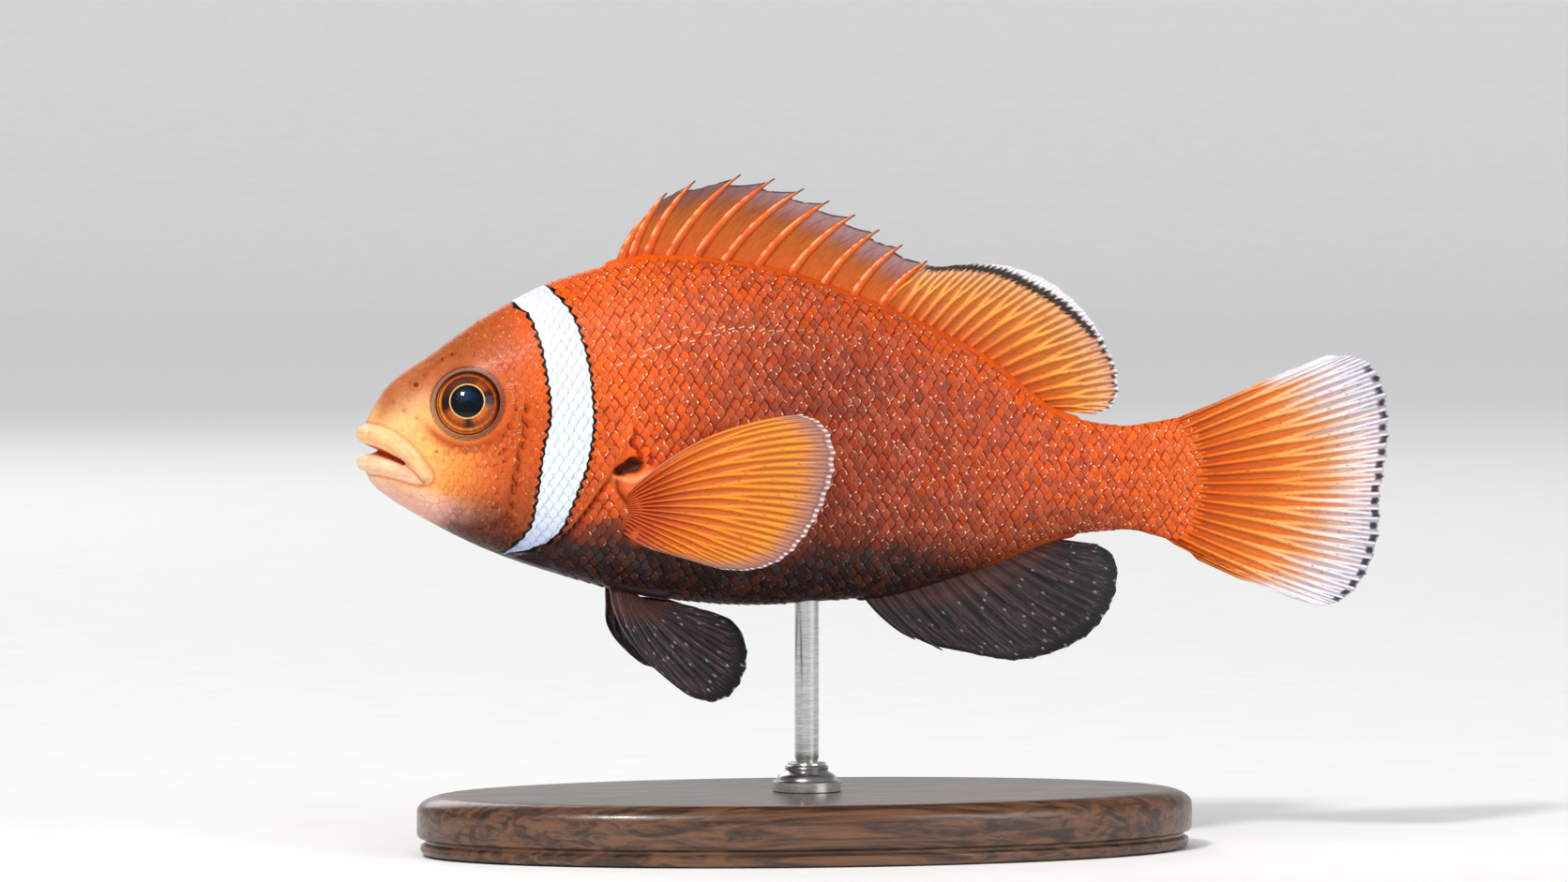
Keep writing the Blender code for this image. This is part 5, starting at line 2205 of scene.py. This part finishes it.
def spiny_colour(sheet: Sheet) -> Array:
    """The spiny dorsal fin: glossy orange spines, a brown orange web that greys towards its margin.

    Args:
        sheet: The sheet's measures.

    Returns:
        A colour for each of its points.
    """
    if sheet.hard:
        tones = rgb(210, 80, 12), rgb(220, 94, 22), rgb(186, 78, 30), rgb(80, 44, 36)
        paint = blend_stops(sheet.share, (0, 0.6, 0.9, 1), tones)
        # Painted highlight: pale dashes along each spine's lit side.
        dash = fade(speckle(np.floor(sheet.share * 18), sheet.at), 0.3, 0.5)
        return mix(paint, rgb(255, 204, 150), (0.1 + 0.6 * dash) * sheet.ray * fade(sheet.share, 1.0, 0.85))
    gap = sheet.at % 1.0
    tones = rgb(200, 88, 20), rgb(178, 88, 24), rgb(146, 78, 38), rgb(128, 88, 70)
    web = blend_stops(sheet.share, (0, 0.35, 0.7, 1.0), tones)
    grey = fade(sheet.edge, 3.6, 0.4)
    web = mix(web, mix(rgb(96, 70, 72), rgb(158, 130, 138), fade(sheet.at, 1.5, 6.0)), 0.72 * grey)
    bend = 0.12 * np.sin(sheet.share * 7 + sheet.at * 2.0)
    first, second = gap - 0.35 - bend - 0.3 * sheet.share, gap - 0.8 + bend + 0.5 * sheet.share
    veins = np.minimum(np.abs(first), np.abs(second))
    web = mix(web, web * (0.5, 0.42, 0.42), 0.4 * fade(veins, 0.07, 0.0) * fade(sheet.share, 0.2, 0.5))
    web = mix(web, web * 0.4, 0.75 * fade(np.abs(gap - 0.5), 0.33, 0.47))
    web = mix(web, Hue.INK, 0.85 * fade(sheet.edge, 0.3, 0.14))
    speck = fade(speckle(np.floor(sheet.at * 8)), 0.6, 0.64)
    return mix(web, rgb(236, 228, 222), 0.8 * speck * fade(sheet.edge, 0.14, 0.04))


def soft_rays(sheet: Sheet, ray: Sequence[Array], web: Sequence[Array], places: Sequence[float],
              fingers: float = 0.05) -> Array:
    """Rays over a darker web, with a thin dark line beside each ray.

    Args:
        sheet: The sheet's measures.
        ray: The rays' colours from root to tip.
        web: The web's colours.
        places: Where along the fin those colours lie.
        fingers: How unevenly the colours reach outwards, as a share of the length.

    Returns:
        A colour for each of its points.
    """
    strand = np.floor(sheet.at * 4 + 0.5)
    share = sheet.share + fingers * (2 * speckle(strand) - 1)
    crest = 0.5 * sheet.ray**1.3 + 0.5 * sheet.ray**5
    paint = mix(blend_stops(share, places, web), blend_stops(share, places, ray), crest)
    line = fade(np.abs(sheet.ray - 0.26), 0.2, 0.0)
    fine = np.floor(sheet.at * 11)
    streak = speckle(fine, np.floor(sheet.share * 5 + speckle(fine) * 9))
    paint = mix(paint, paint * (0.56, 0.42, 0.36), 0.75 * line * (0.4 + 0.6 * streak))
    paint = paint * (0.88 + 0.24 * streak)[..., None]
    near = np.abs(sheet.at * 4 - strand) * sheet.spacing / 4
    bead = hump((sheet.share * sheet.length + 3 * speckle(strand)) % 1.7, 0.8, 0.11) * fade(near, 0.13, 0.05)
    return mix(paint, rgb(96, 60, 50), 0.6 * bead * fade(speckle(strand, np.floor(share * 9)), 0.55, 0.6))


def soft_dorsal_colour(sheet: Sheet) -> Array:
    """The soft dorsal fin: amber, greying outwards, with a black band under a white margin.

    Args:
        sheet: The sheet's measures.

    Returns:
        A colour for each of its points.
    """
    ray = rgb(226, 100, 24), rgb(246, 158, 66), rgb(244, 176, 110), rgb(214, 166, 150)
    web = rgb(184, 74, 12), rgb(190, 98, 18), rgb(176, 108, 62), rgb(160, 122, 122)
    paint = soft_rays(sheet, ray, web, (0, 0.4, 0.75, 1))
    rear = np.clip(sheet.at / 17, 0, 1)
    ragged = 0.16 * np.sin(sheet.at * 17.0) + 0.12 * np.sin(sheet.at * 41.0 + 1.0)
    offset = np.interp(rear, (0, 0.12, 0.22, 0.42, 0.6, 0.74, 1.0),
                       (0.3, 0.35, 0.7, 1.5, 1.05, 0.4, 0.3)) + ragged
    width = np.interp(rear, (0, 0.1, 0.3, 0.55, 0.7, 0.85, 1.0), (0.2, 0.4, 0.48, 0.44, 0.3, 0.16, 0.1))
    white = fade(sheet.edge, offset, offset - 0.3) * fade(rear, 0.12, 0.25)
    margin = mix(rgb(206, 202, 210), rgb(238, 236, 240), sheet.ray)
    paint = mix(paint, margin, 0.92 * white)
    dots = np.where(rear > 0.68, fade(np.sin(sheet.at * 4 * math.pi), -0.5, 0.2), 1.0)
    band = fade(np.abs(sheet.edge - offset), width + 0.14, width - 0.06)
    return mix(paint, Hue.INK, 0.95 * band * dots * fade(rear, 0.0, 0.03))


def tail_colour(sheet: Sheet) -> Array:
    """The tail fin: orange at the root, fading to lilac white, with black beads on its rear margin.

    Args:
        sheet: The sheet's measures.

    Returns:
        A colour for each of its points.
    """
    sheet = replace(sheet, share=sheet.share * np.interp(sheet.at, (0, 1, 17, 18), (0.45, 1, 1, 0.45)))
    place_of = sheet.at - 1
    reach = 0.07 * np.cos(place_of * math.pi / 8)
    ray = rgb(226, 98, 18), rgb(240, 138, 52), rgb(244, 180, 118), rgb(236, 222, 216), rgb(236, 236, 242)
    web = rgb(186, 76, 8), rgb(204, 96, 18), rgb(214, 114, 42), rgb(196, 166, 164), rgb(176, 172, 192)
    paint = soft_rays(replace(sheet, share=sheet.share + reach), ray, web, (0, 0.26, 0.52, 0.76, 0.94), 0.08)
    outer = fade(np.minimum(place_of, 16 - place_of), 0.75, 0.1) * fade(sheet.share, 0.46, 0.68)
    paint = mix(paint, rgb(228, 226, 234), 0.85 * outer)
    bead = fade(np.cos((place_of - 0.5) * 3.2 * math.pi), -0.55, 0.05) * fade(sheet.edge, 0.95, 0.75)
    bead = bead * fade(place_of, 1.6, 2.6) * fade(place_of, 15.6, 14.8)
    return mix(paint, Hue.INK, 0.95 * bead * fade(sheet.edge, 0.05, 0.2))


def pectoral_colour(sheet: Sheet) -> Array:
    """A pectoral fin: orange rays with darker webs and a lilac grey margin with a dotted white edge.

    Args:
        sheet: The sheet's measures.

    Returns:
        A colour for each of its points.
    """
    ray = rgb(216, 88, 28), rgb(242, 138, 34), rgb(240, 150, 36), rgb(214, 146, 104)
    web = rgb(170, 60, 14), rgb(206, 94, 10), rgb(178, 94, 26), rgb(142, 100, 98)
    paint = soft_rays(sheet, ray, web, (0, 0.35, 0.75, 1))
    # The first ray is pinkish: partly its own colour, partly a painted highlight along the fin's upper edge.
    first = fade(sheet.at, 0.9, 0.3) * fade(sheet.share, 0.5, 0.2)
    paint = mix(paint, rgb(236, 142, 96), 0.7 * first)
    low = fade(sheet.at, 10.0, 15.0)
    grey = fade(sheet.edge, 3.0 + 2.8 * low, 0.5) * (1 - 0.45 * sheet.ray)
    paint = mix(paint, mix(rgb(138, 106, 110), rgb(112, 96, 110), low), 0.75 * grey)
    dots = fade(np.sin(sheet.at * 6 * math.pi), 0.1, 0.6)
    paint = mix(paint, rgb(244, 240, 244), 0.95 * dots * fade(sheet.edge, 0.4, 0.24))
    return mix(paint, rgb(90, 60, 60), 0.4 * hump(sheet.edge, 0.55, 0.12))


def dark_colour(sheet: Sheet) -> Array:
    """The anal and pelvic fins: black brown with purple brown webs and a fine pale edge.

    Args:
        sheet: The sheet's measures.

    Returns:
        A colour for each of its points.
    """
    paint = mix(rgb(41, 34, 39), rgb(19, 16, 21), sheet.ray)
    paint = mix(paint, rgb(96, 54, 42), 0.5 * fade(sheet.share, 0.3, 0.05))
    if sheet.hard:
        return mix(paint, rgb(64, 48, 46), 0.5)
    fine = np.floor(sheet.at * 9)
    streak = speckle(fine, np.floor(sheet.share * 4 + 5 * speckle(fine)))
    paint = mix(paint, rgb(92, 64, 60), 0.4 * fade(streak, 0.6, 0.9) * fade(sheet.share, 1.0, 0.7))
    line = fade(np.abs(sheet.ray - 0.55), 0.14, 0.0)
    paint = mix(paint, rgb(138, 112, 106), 0.4 * line * streak)
    paint = mix(paint, Hue.INK, 0.8 * fade(sheet.edge, 1.5, 0.5))
    edge = fade(np.sin(sheet.at * 7.3) + np.sin(sheet.at * 17.0), 0.3, 0.9)
    paint = mix(paint, rgb(214, 210, 214), 0.7 * edge * fade(sheet.edge, 0.14, 0.05))
    strand = np.round(sheet.at * 2)
    spots = hump((sheet.share * sheet.length + 4 * speckle(strand)) % 2.6, 1.3, 0.12)
    spots = spots * fade(speckle(strand, np.floor(sheet.share * 6)), 0.5, 0.55)
    near = np.abs(sheet.at * 2 - strand) * sheet.spacing / 2
    return mix(paint, rgb(190, 180, 180), 0.6 * spots * fade(near, 0.11, 0.05) * fade(sheet.share, 0.1, 0.25))


@dataclass
class Fins:
    """All the fins, each from its rays' roots and tips."""

    form: FishForm
    spine_roots: Sequence[float] = (26.6, 27.6, 29.1, 31.4, 34.1, 37.0, 40.3, 43.7, 47.0, 50.0, 52.8)
    spine_tips: Line = ((29.1, 24.1), (31.1, 26.4), (33.9, 27.6), (38.45, 28.2), (41.9, 27.8), (44.9, 26.8),
                        (47.5, 25.6), (50.1, 24.2), (52.5, 22.7), (54.8, 21.2), (57.3, 19.6))
    dorsal_edge: Line = ((58.6, 19.1), (62.2, 19.4), (66.0, 19.1), (69.8, 17.7), (73.6, 14.4), (76.3, 10.2),
                         (77.1, 7.2), (76.2, 5.0), (74.6, 4.3))
    anal_edge: Line = ((60.8, -19.3), (63.7, -19.9), (66.9, -20.3), (70.3, -19.6), (73.6, -18.0),
                       (75.9, -15.3), (77.0, -12.1), (76.6, -10.0), (74.8, -8.7))
    tail_edge: Line = ((98.7, 10.1), (101.0, 10.1), (102.9, 9.3), (104.3, 7.0), (105.0, 3.3), (104.7, -0.5),
                       (103.9, -3.9), (103.9, -8.2), (102.7, -11.9), (100.3, -14.5), (97.7, -15.1))
    arm_root: Line = ((27.6, -1.2), (28.3, -4.6), (27.5, -7.9))
    arm_edge: Line = ((42.2, 4.9), (43.8, 4.3), (45.1, 2.8), (45.5, 1.1), (45.2, -1.4), (44.2, -4.5),
                      (42.7, -7.2), (40.7, -9.3), (38.1, -10.4), (35.6, -10.5), (32.5, -9.7), (30.2, -8.8))
    pelvic_tips: Line = ((29.7, -8.2), (31.7, -10.2), (33.6, -11.2), (35.3, -11.1), (36.7, -10.0),
                         (37.9, -8.1), (38.4, -5.8), (38.1, -3.7), (37.0, -2.1), (35.4, -1.3))
    pelvic_from: float = 25.8
    pelvic_to: float = 30.0
    pelvic_side: float = 1.9

    def on_back(self, behinds: Sequence[float]) -> Array:
        """Roots on the ridge of the back."""
        behinds = np.asarray(behinds, float)
        return np.stack((behinds, self.form.back(behinds) + 0.3), axis=1)

    def on_belly(self, behinds: Sequence[float]) -> Array:
        """Roots on the keel of the belly."""
        behinds = np.asarray(behinds, float)
        return np.stack((behinds, self.form.belly(behinds) - 0.3), axis=1)

    def arm_lift(self, side: Side) -> Callable[[Array, Array], Array]:
        """Stands a pectoral fin off the flank.

        Args:
            side: Which side of the fish.

        Returns:
            A function that places the fin's flat points.
        """
        def lift(flat: Array, root: Array) -> Array:
            """Places the fin's flat points.

            Args:
                flat: The points, as (behind, height).
                root: Their rays' roots.

            Returns:
                Fish points.
            """
            run = flat[..., 0] - root[..., 0]
            out = self.form.side_depth(root[..., 0], root[..., 1]) + 0.85
            away = out + 0.36 * run * (1 - 0.006 * run) - 0.35 * fade(run, 2.0, -2.0)
            return np.stack((flat[..., 0], side.value * away, flat[..., 1]), axis=-1)
        return lift

    def pelvic_lift(self, side: Side, splay: float, swing: float) -> Callable[[Array, Array], Array]:
        """Hangs a pelvic fin under the breast.

        Args:
            side: Which side of the fish.
            splay: Degrees that it stands outwards.
            swing: Degrees that it swings forwards.

        Returns:
            A function that places the fin's flat points.
        """
        splay, swing = math.radians(splay), math.radians(swing)
        keel = float(self.form.belly(self.pelvic_to)) - 0.3

        def lift(flat: Array, root: Array) -> Array:
            """Places the fin's flat points.

            Args:
                flat: The points, as (along the root, height over it).
                root: Their rays' roots, which do not matter here.

            Returns:
                Fish points.
            """
            along, down = flat[..., 0] - self.pelvic_from, -flat[..., 1]
            lag = np.clip(down / 3.0, 0.0, 1.0)
            forward = along - (along - along * math.cos(swing) + down * math.sin(swing)) * lag
            down = down + (down * math.cos(swing) + along * math.sin(swing) - down) * lag
            rise = np.maximum(-down, 0) * 0.4
            return np.stack((self.pelvic_from + forward,
                             side.value * (self.pelvic_side + down * math.sin(splay)),
                             keel - down * math.cos(splay) + rise), axis=-1)
        return lift

    def plans(self) -> Iterator[tuple[Fin, Slot]]:
        """Every fin with its slot.

        Yields:
            A fin and its slot.
        """
        yield Fin("dorsal_fin_spiny", self.on_back(self.spine_roots), np.array(self.spine_tips),
                  np.full(11, 0.06), spiny_colour, style=FinStyle(ray=0.42, columns=18), spines=11), Slot.FIN
        roots = np.concatenate((self.on_back((52.95,)), self.on_back(np.linspace(54.6, 71.0, 17))))
        tips = np.concatenate(([[57.2, 19.35]], through(self.dorsal_edge, np.linspace(0, 1, 17))))
        yield Fin("dorsal_fin_soft", roots, tips, np.linspace(0.035, 0, 18), soft_dorsal_colour), Slot.FIN
        roots = self.on_belly(np.concatenate(((51.6, 53.0), np.linspace(54.2, 71.0, 14))))
        tips = np.concatenate(([[56.2, -18.0], [58.9, -19.1]],
                               through(self.anal_edge, np.linspace(0, 1, 14))))
        yield Fin("anal_fin", roots, tips, np.linspace(-0.05, 0, 16), dark_colour, spines=2,
                  fall=0.12), Slot.DARK_FIN
        roots = through(self.form.tail_arc, np.linspace(0, 1, 21))[2:-2]
        tips = through(self.tail_edge, np.linspace(0, 1, 17))
        short = [roots[k] + (tips[k] - roots[k]) * 0.42 for k in (0, -1)]
        roots = np.concatenate(([[80.6, 2.7]], roots, [[80.6, -7.1]]))
        tips = np.concatenate(([short[0]], tips, [short[1]]))
        yield Fin("caudal_fin", roots, tips, np.concatenate(([-0.01], np.linspace(0, -0.02, 17), [0.0])),
                  tail_colour, style=FinStyle(ray=0.42, columns=20, rows=72, wave=0.35)), Slot.FIN
        roots, tips = (through(line, np.linspace(0, 1, 17)) for line in (self.arm_root, self.arm_edge))
        for side in Side:
            yield Fin(f"pectoral_fin_{side.name.lower()}", roots, tips, np.linspace(0.085, -0.04, 17),
                      pectoral_colour, self.arm_lift(side), FinStyle(sink=2.3)), Slot.FIN
        behinds = np.linspace(self.pelvic_from, self.pelvic_to, 11)
        roots = np.stack((behinds, np.full(11, -0.15)), axis=1)
        roots[0] -= (0.5, 0)
        tips = through(self.pelvic_tips, np.linspace(0, 1, 11))
        for side, splay, swing in ((Side.LEFT, 30.0, 0.0), (Side.RIGHT, 52.0, 8.0)):
            yield Fin(f"pelvic_fin_{side.name.lower()}", roots, tips, np.linspace(-0.085, 0.02, 11),
                      dark_colour, self.pelvic_lift(side, splay, swing)), Slot.DARK_FIN

    def build(self, frame: FishFrame) -> None:
        """Builds and places every fin.

        Args:
            frame: Places the fish in the model.
        """
        finishes = {Slot.FIN: FinWeb().make("amber_fin_web"),
                    Slot.DARK_FIN: FinWeb(joint_dark=0.2).make("black_fin_web")}
        for fin, slot in self.plans():
            fin.build(frame, finishes[slot], slot)


# ---------------------------------------------------------------- eyes


@dataclass
class Eyes:
    """Both eyes: a domed ball with its pupil, gold ring, iris and orange rim under a clear wet film.

    Attributes:
        form: The head's shape.
        place_of: Where the eyes sit.
        pupil: Radius of the pupil.
        gold: Outer radius of the gold ring.
        iris: Outer radius of the iris.
        rim: Outer radius of the orange rim.
        lights: Turn, spread and strength of each lit patch of the iris.
    """

    form: FishForm
    place_of: EyePlace
    pupil: float = 1.62
    gold: float = 1.74
    iris: float = 2.62
    rim: float = 2.86
    lights: Line = ((-2.2, 0.7, 0.75), (-0.75, 0.75, 0.95), (0.85, 0.4, 0.45))

    def colour(self, ring: Array, turn: Array) -> Array:
        """The eye's colour by distance from its middle and turn round it.

        Args:
            ring: Distances from the eye's middle.
            turn: Turns round it.

        Returns:
            A colour for each place.
        """
        # Painted reflection: the upper middle of the pupil is navy blue.
        paint = mix(rgb(4, 6, 12), rgb(8, 38, 66), fade(ring, self.pupil, 0.5)
                    * fade(np.sin(turn), -0.7, 0.9))
        paint = mix(paint, rgb(4, 4, 6), fade(ring, self.pupil - 0.12, self.pupil))
        glow = fade(np.cos(turn + 2.35), -0.4, 0.95)
        lit = np.max([share * fade(np.cos(turn - angle), math.cos(spread), 1.0)
                      for angle, spread, share in self.lights], axis=0)
        iris = mix(rgb(34, 15, 10), rgb(92, 46, 34), fade(np.sin(turn), -0.1, 0.9))
        iris = mix(iris, rgb(24, 9, 5), 0.6 * fade(ring, 2.2, self.iris))
        iris = mix(iris, rgb(224, 104, 18), lit * (0.45 + 0.55 * fade(ring, 2.4, 1.9)))
        paint = mix(paint, iris, fade(ring, self.gold, self.gold + 0.06))
        paint = mix(paint, rgb(255, 204, 132), hump(ring, (self.pupil + self.gold) / 2 + 0.02, 0.055))
        paint = mix(paint, mix(rgb(186, 82, 22), rgb(250, 140, 32), glow),
                    0.95 * hump(ring, self.iris + 0.1, 0.13))
        paint = mix(paint, rgb(60, 22, 10), 0.6 * hump(ring, self.rim + 0.02, 0.05))
        paint = mix(paint, mix(rgb(86, 36, 16), rgb(228, 114, 32), glow),
                    0.95 * hump(ring, self.rim + 0.14, 0.08))
        return mix(paint, rgb(14, 8, 7), fade(ring, self.rim + 0.23, self.rim + 0.3))

    def build(self, frame: FishFrame) -> None:
        """Builds and places both eyes.

        Args:
            frame: Places the fish in the model.
        """
        finish = EyeGlass().make("eye_layers")
        shape, turns = self.place_of, circle(128)
        front = np.concatenate((np.linspace(0.03, 1.0, 8), np.arange(1.1, 3.38, 0.03)))
        back = np.linspace(0.999, 0.1, 18) * (shape.radius - 0.07)
        radii = np.concatenate((front, back))
        swell = np.repeat((1.0, -0.9), (len(front), len(back)))
        depths = shape.half_depth * np.sqrt(1 - (radii / shape.radius) ** 2) * swell
        ring = np.append(np.repeat(np.where(swell > 0, radii, 3.4), len(turns)), (0.0, 3.4))
        turn = np.append(np.tile(turns, len(radii)), (0.0, 0.0))
        lie = np.stack((4 * np.cos(turn), 4 * np.sin(turn), ring), axis=1)
        values = {"paint": self.colour(ring, turn), "eye_lie": lie}
        for side in Side:
            spokes, look = shape.spokes(side, turns), shape.axis(side)
            points, faces = lofted(shape.centre(self.form, side) + spokes * radii[:, None, None]
                                   + look * depths[:, None, None])
            made = add_mesh(f"eye_{side.name.lower()}_ball", frame.to_world(points), faces, values)
            outward(made)
            place(made, finish, Slot.EYE, [f"eye_{side.name.lower()}"])


# ---------------------------------------------------------------- stand and studio


@dataclass
class Stand:
    """The display stand: an oval wooden base, a turned ferrule and one rod into the belly.

    Attributes:
        edge: Radius of the base's upper edge.
        sides: Points round the base.
        ferrule: The ferrule's profile over its foot, as shares of its radius and its height.
    """

    edge: float = 1.6
    sides: int = 128
    ferrule: Line = ((1.0, 0.26), (0.97, 0.31), (0.9, 0.33), (0.88, 0.38), (0.84, 0.48), (0.74, 0.58),
                     (0.64, 0.64), (0.61, 0.7), (0.62, 0.74), (0.64, 0.8), (0.62, 0.86), (0.57, 0.9),
                     (0.55, 0.98), (0.52, 1.0), (0.1, 1.0))

    def outline(self, low: Vector, high: Vector) -> Array:
        """The base's rounded profile as (share of its half size, height in millimetres).

        Args:
            low: The solid's lowest corner, in metres.
            high: Its highest corner.

        Returns:
            The pairs, from below.
        """
        top = (high.z - low.z) / MM
        half = (high.y - low.y) / 2 / MM
        turn = np.radians(np.linspace(0, 90, 9))
        inwards, downwards = self.edge / half * (1 - np.cos(turn)), self.edge * (1 - np.sin(turn))
        upper = np.stack((1 - inwards, top - downwards), axis=1)
        cove = np.array(((0.962, 0.0), (0.985, 0.25), (0.992, 0.7), (0.99, 1.1), (0.978, 1.35), (0.978, 1.6),
                         (0.995, 1.85), (1.0, 2.2)))
        inner = np.linspace(upper[-1, 0], 0.03, 14)[1:]
        return np.concatenate((cove, upper, np.stack((inner, np.full(13, top)), axis=1)))

    @staticmethod
    def foot_of(low: Vector, high: Vector) -> Vector:
        """The middle of a box's underside."""
        return Vector(((low.x + high.x) / 2, (low.y + high.y) / 2, low.z))

    def build(self) -> None:
        """Builds and places the three pieces."""
        wood, steel = Walnut().make("oiled_walnut"), BrushedSteel().make("brushed_steel")
        low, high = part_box("stand_base")
        base_top = high.z
        half = ((high.x - low.x) / 2 / MM, (high.y - low.y) / 2 / MM)
        rings = turned_rings(self.outline(low, high), self.sides, half)
        self.turned("stand_base_oval", rings, self.foot_of(low, high), wood, Slot.WOOD, "stand_base")
        low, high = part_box("stand_ferrule")
        tall, wide = (high.z - low.z) / MM, (high.x - low.x) / 2 / MM
        foot = (base_top - low.z) / MM / tall
        under = ((0.1, foot), (0.97, foot), (1.0, foot + 0.03))
        rings = turned_rings([(r * wide, z * tall) for r, z in (*under, *self.ferrule)], 64)
        middle = self.foot_of(low, high)
        self.turned("stand_ferrule_turned", rings, middle, steel, Slot.STEEL, "stand_ferrule")
        rod_low, rod_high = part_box("stand_rod")
        radius = (rod_high.x - rod_low.x) / 2 / MM
        foot, tall = (rod_low.z - high.z) / MM, (rod_high.z - rod_low.z) / MM
        shaft = np.linspace(0.2, tall - 0.2, 30)
        heights = np.concatenate(((-foot, 0.01 - foot), shaft, (tall - 0.01, tall)))
        radii = np.where((heights > tall - 0.1) | (heights < 0), radius - 0.15, radius)
        rings = turned_rings(np.stack((radii, heights), axis=1), 48)
        self.turned("stand_rod_round", rings, self.foot_of(rod_low, rod_high), steel, Slot.STEEL, "stand_rod")

    @staticmethod
    def turned(name: str, rings: Array, middle: Vector, finish: Finish, slot: Slot,
               node: str) -> None:
        """Makes one turned piece where its solid is.

        Args:
            name: The piece's name.
            rings: Its rings, in millimetres over its foot.
            middle: The middle of its foot, in metres.
            finish: Its material.
            slot: The record's slot that it takes its finish from.
            node: The solid that it stands for.
        """
        points, faces = lofted(rings)
        made = add_mesh(name, points * MM + np.array(middle), faces)
        outward(made)
        made.data.set_sharp_from_angle(angle=math.radians(35))
        place(made, finish, slot, [node])


@dataclass
class Studio:
    """The pale floor and backdrop, the soft lights and the camera.

    Attributes:
        azimuth: Degrees that the camera stands towards the head.
        elevation: Degrees that it stands upwards.
        distance: How far it stands off, in metres.
        lens: Its focal length, in millimetres.
        aim: The point that it and the lights look at, in metres.
    """

    azimuth: float = -11.0
    elevation: float = 2.0
    distance: float = 0.9
    lens: float = 208.6
    aim: tuple[float, float, float] = (-0.0096, 0.0, 0.0408)

    def floor(self) -> None:
        """A round floor that curves up into the backdrop on every side."""
        rise = np.radians(np.linspace(0, 32, 17))
        out = np.concatenate(((0.0, 1.2), 2.4 + 1.5 * np.sin(rise), (8.0,)))
        tall = np.concatenate(((0.0, 0.0), 1.5 - 1.5 * np.cos(rise), (3.21,)))
        turns = circle(96)
        points = np.stack((np.outer(out, np.cos(turns)), np.outer(out, np.sin(turns)),
                           np.outer(tall, np.ones(96))), axis=-1).reshape(-1, 3)
        made = add_mesh("paper_backdrop", points, [grid_faces(len(out), 96, closed=True)])
        shade = Shade("backdrop_paper", Roughness=0.9, Specular_IOR_Level=0.1)
        tooth = shade.noise(0.12, shade.place_at(), 6.0, 0.6)
        tone = shade.mixed(shade.span(tooth, 0.3, 0.7), (0.88, 0.876, 0.868), (0.9, 0.896, 0.888))
        shade.feed("Base Color", tone)
        made.data.materials.append(shade.material)

    def light(self, name: str, where: Sequence[float], size: float, power: float,
              tone: Sequence[float]) -> None:
        """A square soft light aimed at the fish.

        Args:
            name: Its name.
            where: Where it stands, in metres.
            size: Its width, in metres.
            power: Its power, in watts.
            tone: Its colour.
        """
        data = bpy.data.lights.new(name, "AREA")
        data.shape, data.size, data.energy, data.color = "SQUARE", size, power, tone
        lamp = in_scene(name, data)
        lamp.location = where
        lamp.rotation_euler = (Vector(self.aim) - Vector(where)).to_track_quat("-Z", "Y").to_euler()

    @staticmethod
    def sun(name: str, towards: Sequence[float], strength: float, spread: float) -> None:
        """An even light from one direction.

        Args:
            name: Its name.
            towards: The way to it.
            strength: Its strength.
            spread: How wide it is in the sky, in degrees.
        """
        data = bpy.data.lights.new(name, "SUN")
        data.energy, data.angle = strength, math.radians(spread)
        lamp = in_scene(name, data)
        lamp.rotation_euler = Vector(towards).to_track_quat("Z", "Y").to_euler()
        lamp.visible_glossy = False

    def build(self) -> None:
        """Sets up the floor, the lights, the world and the camera."""
        self.floor()
        self.light("key_softbox", (-0.5, -0.75, 0.8), 0.13, 8.0, (1.0, 0.985, 0.96))
        self.light("fill_softbox", (0.9, -1.1, 0.5), 0.8, 6.0, (0.95, 0.98, 1.0))
        self.light("back_softbox", (-0.2, 1.0, 0.6), 0.5, 2.2, (0.97, 0.98, 1.0))
        self.sun("broad_light", (-0.25, -0.55, 0.9), 1.43, 60.0)
        world = bpy.data.worlds.new("studio_air")
        world.use_nodes = True
        air = world.node_tree.nodes["Background"].inputs
        air["Color"].default_value, air["Strength"].default_value = (0.93, 0.96, 1.0, 1.0), 0.22
        bpy.context.scene.world = world
        bpy.context.scene.view_settings.view_transform = "Standard"
        self.camera()

    def camera(self) -> None:
        """Puts up the camera, square to the fish but for the view's two angles."""
        turn, rise = math.radians(self.azimuth), math.radians(self.elevation)
        back = Vector((math.sin(turn) * math.cos(rise), -math.cos(turn) * math.cos(rise), math.sin(rise)))
        data = bpy.data.cameras.new("camera")
        data.lens, data.sensor_width, data.clip_start = self.lens, 36.0, 0.01
        eye = in_scene("camera", data)
        eye.location = Vector(self.aim) + back * self.distance
        eye.rotation_euler = back.to_track_quat("Z", "Y").to_euler()
        bpy.context.scene.camera = eye


def main() -> None:
    """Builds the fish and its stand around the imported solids."""
    logging.basicConfig(level=logging.INFO, format="%(name)s %(message)s")
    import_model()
    form, eye = FishForm(), EyePlace()
    relief = Relief(eye)
    upper = Lip(front=0.94, reach=5.4, half_width=3.85, height=2.78, fall=3.95, bow=1.9, front_radius=0.87,
                corner_radius=0.72)
    lower = Lip(front=1.02, reach=5.04, half_width=3.3, height=0.02, fall=1.6, bow=1.5, front_radius=0.9,
                corner_radius=0.5)
    frame = FishFrame.from_solids(rod_behind=ROD_BEHIND, back_peak=20.3)
    markings = Markings(form, relief, eye, upper, lower)
    skin = Skin(form, relief, markings, eye, upper, lower).build(frame)
    place(skin, WetSkin().make("wet_skin"), Slot.SKIN,
          ("head", "lower_jaw", "upper_lip", "gill_cover_left", "gill_cover_right", "trunk", "tail_stalk"))
    scales = Scales(form, relief, markings, eye)
    plate = ScalePlate().make("scale_plates")
    for side in Side:
        for part, start, end in (("head", 0.0, 25.0), ("flank", 25.0, 52.0), ("rear", 52.0, 90.0)):
            made = scales.build(side, frame, f"scales_{part}_{side.name.lower()}", start, end)
            place(made, plate, Slot.SKIN)
    Fins(form).build(frame)
    Eyes(form, eye).build(frame)
    Stand().build()
    Studio().build()


if __name__ == "__main__":
    main()
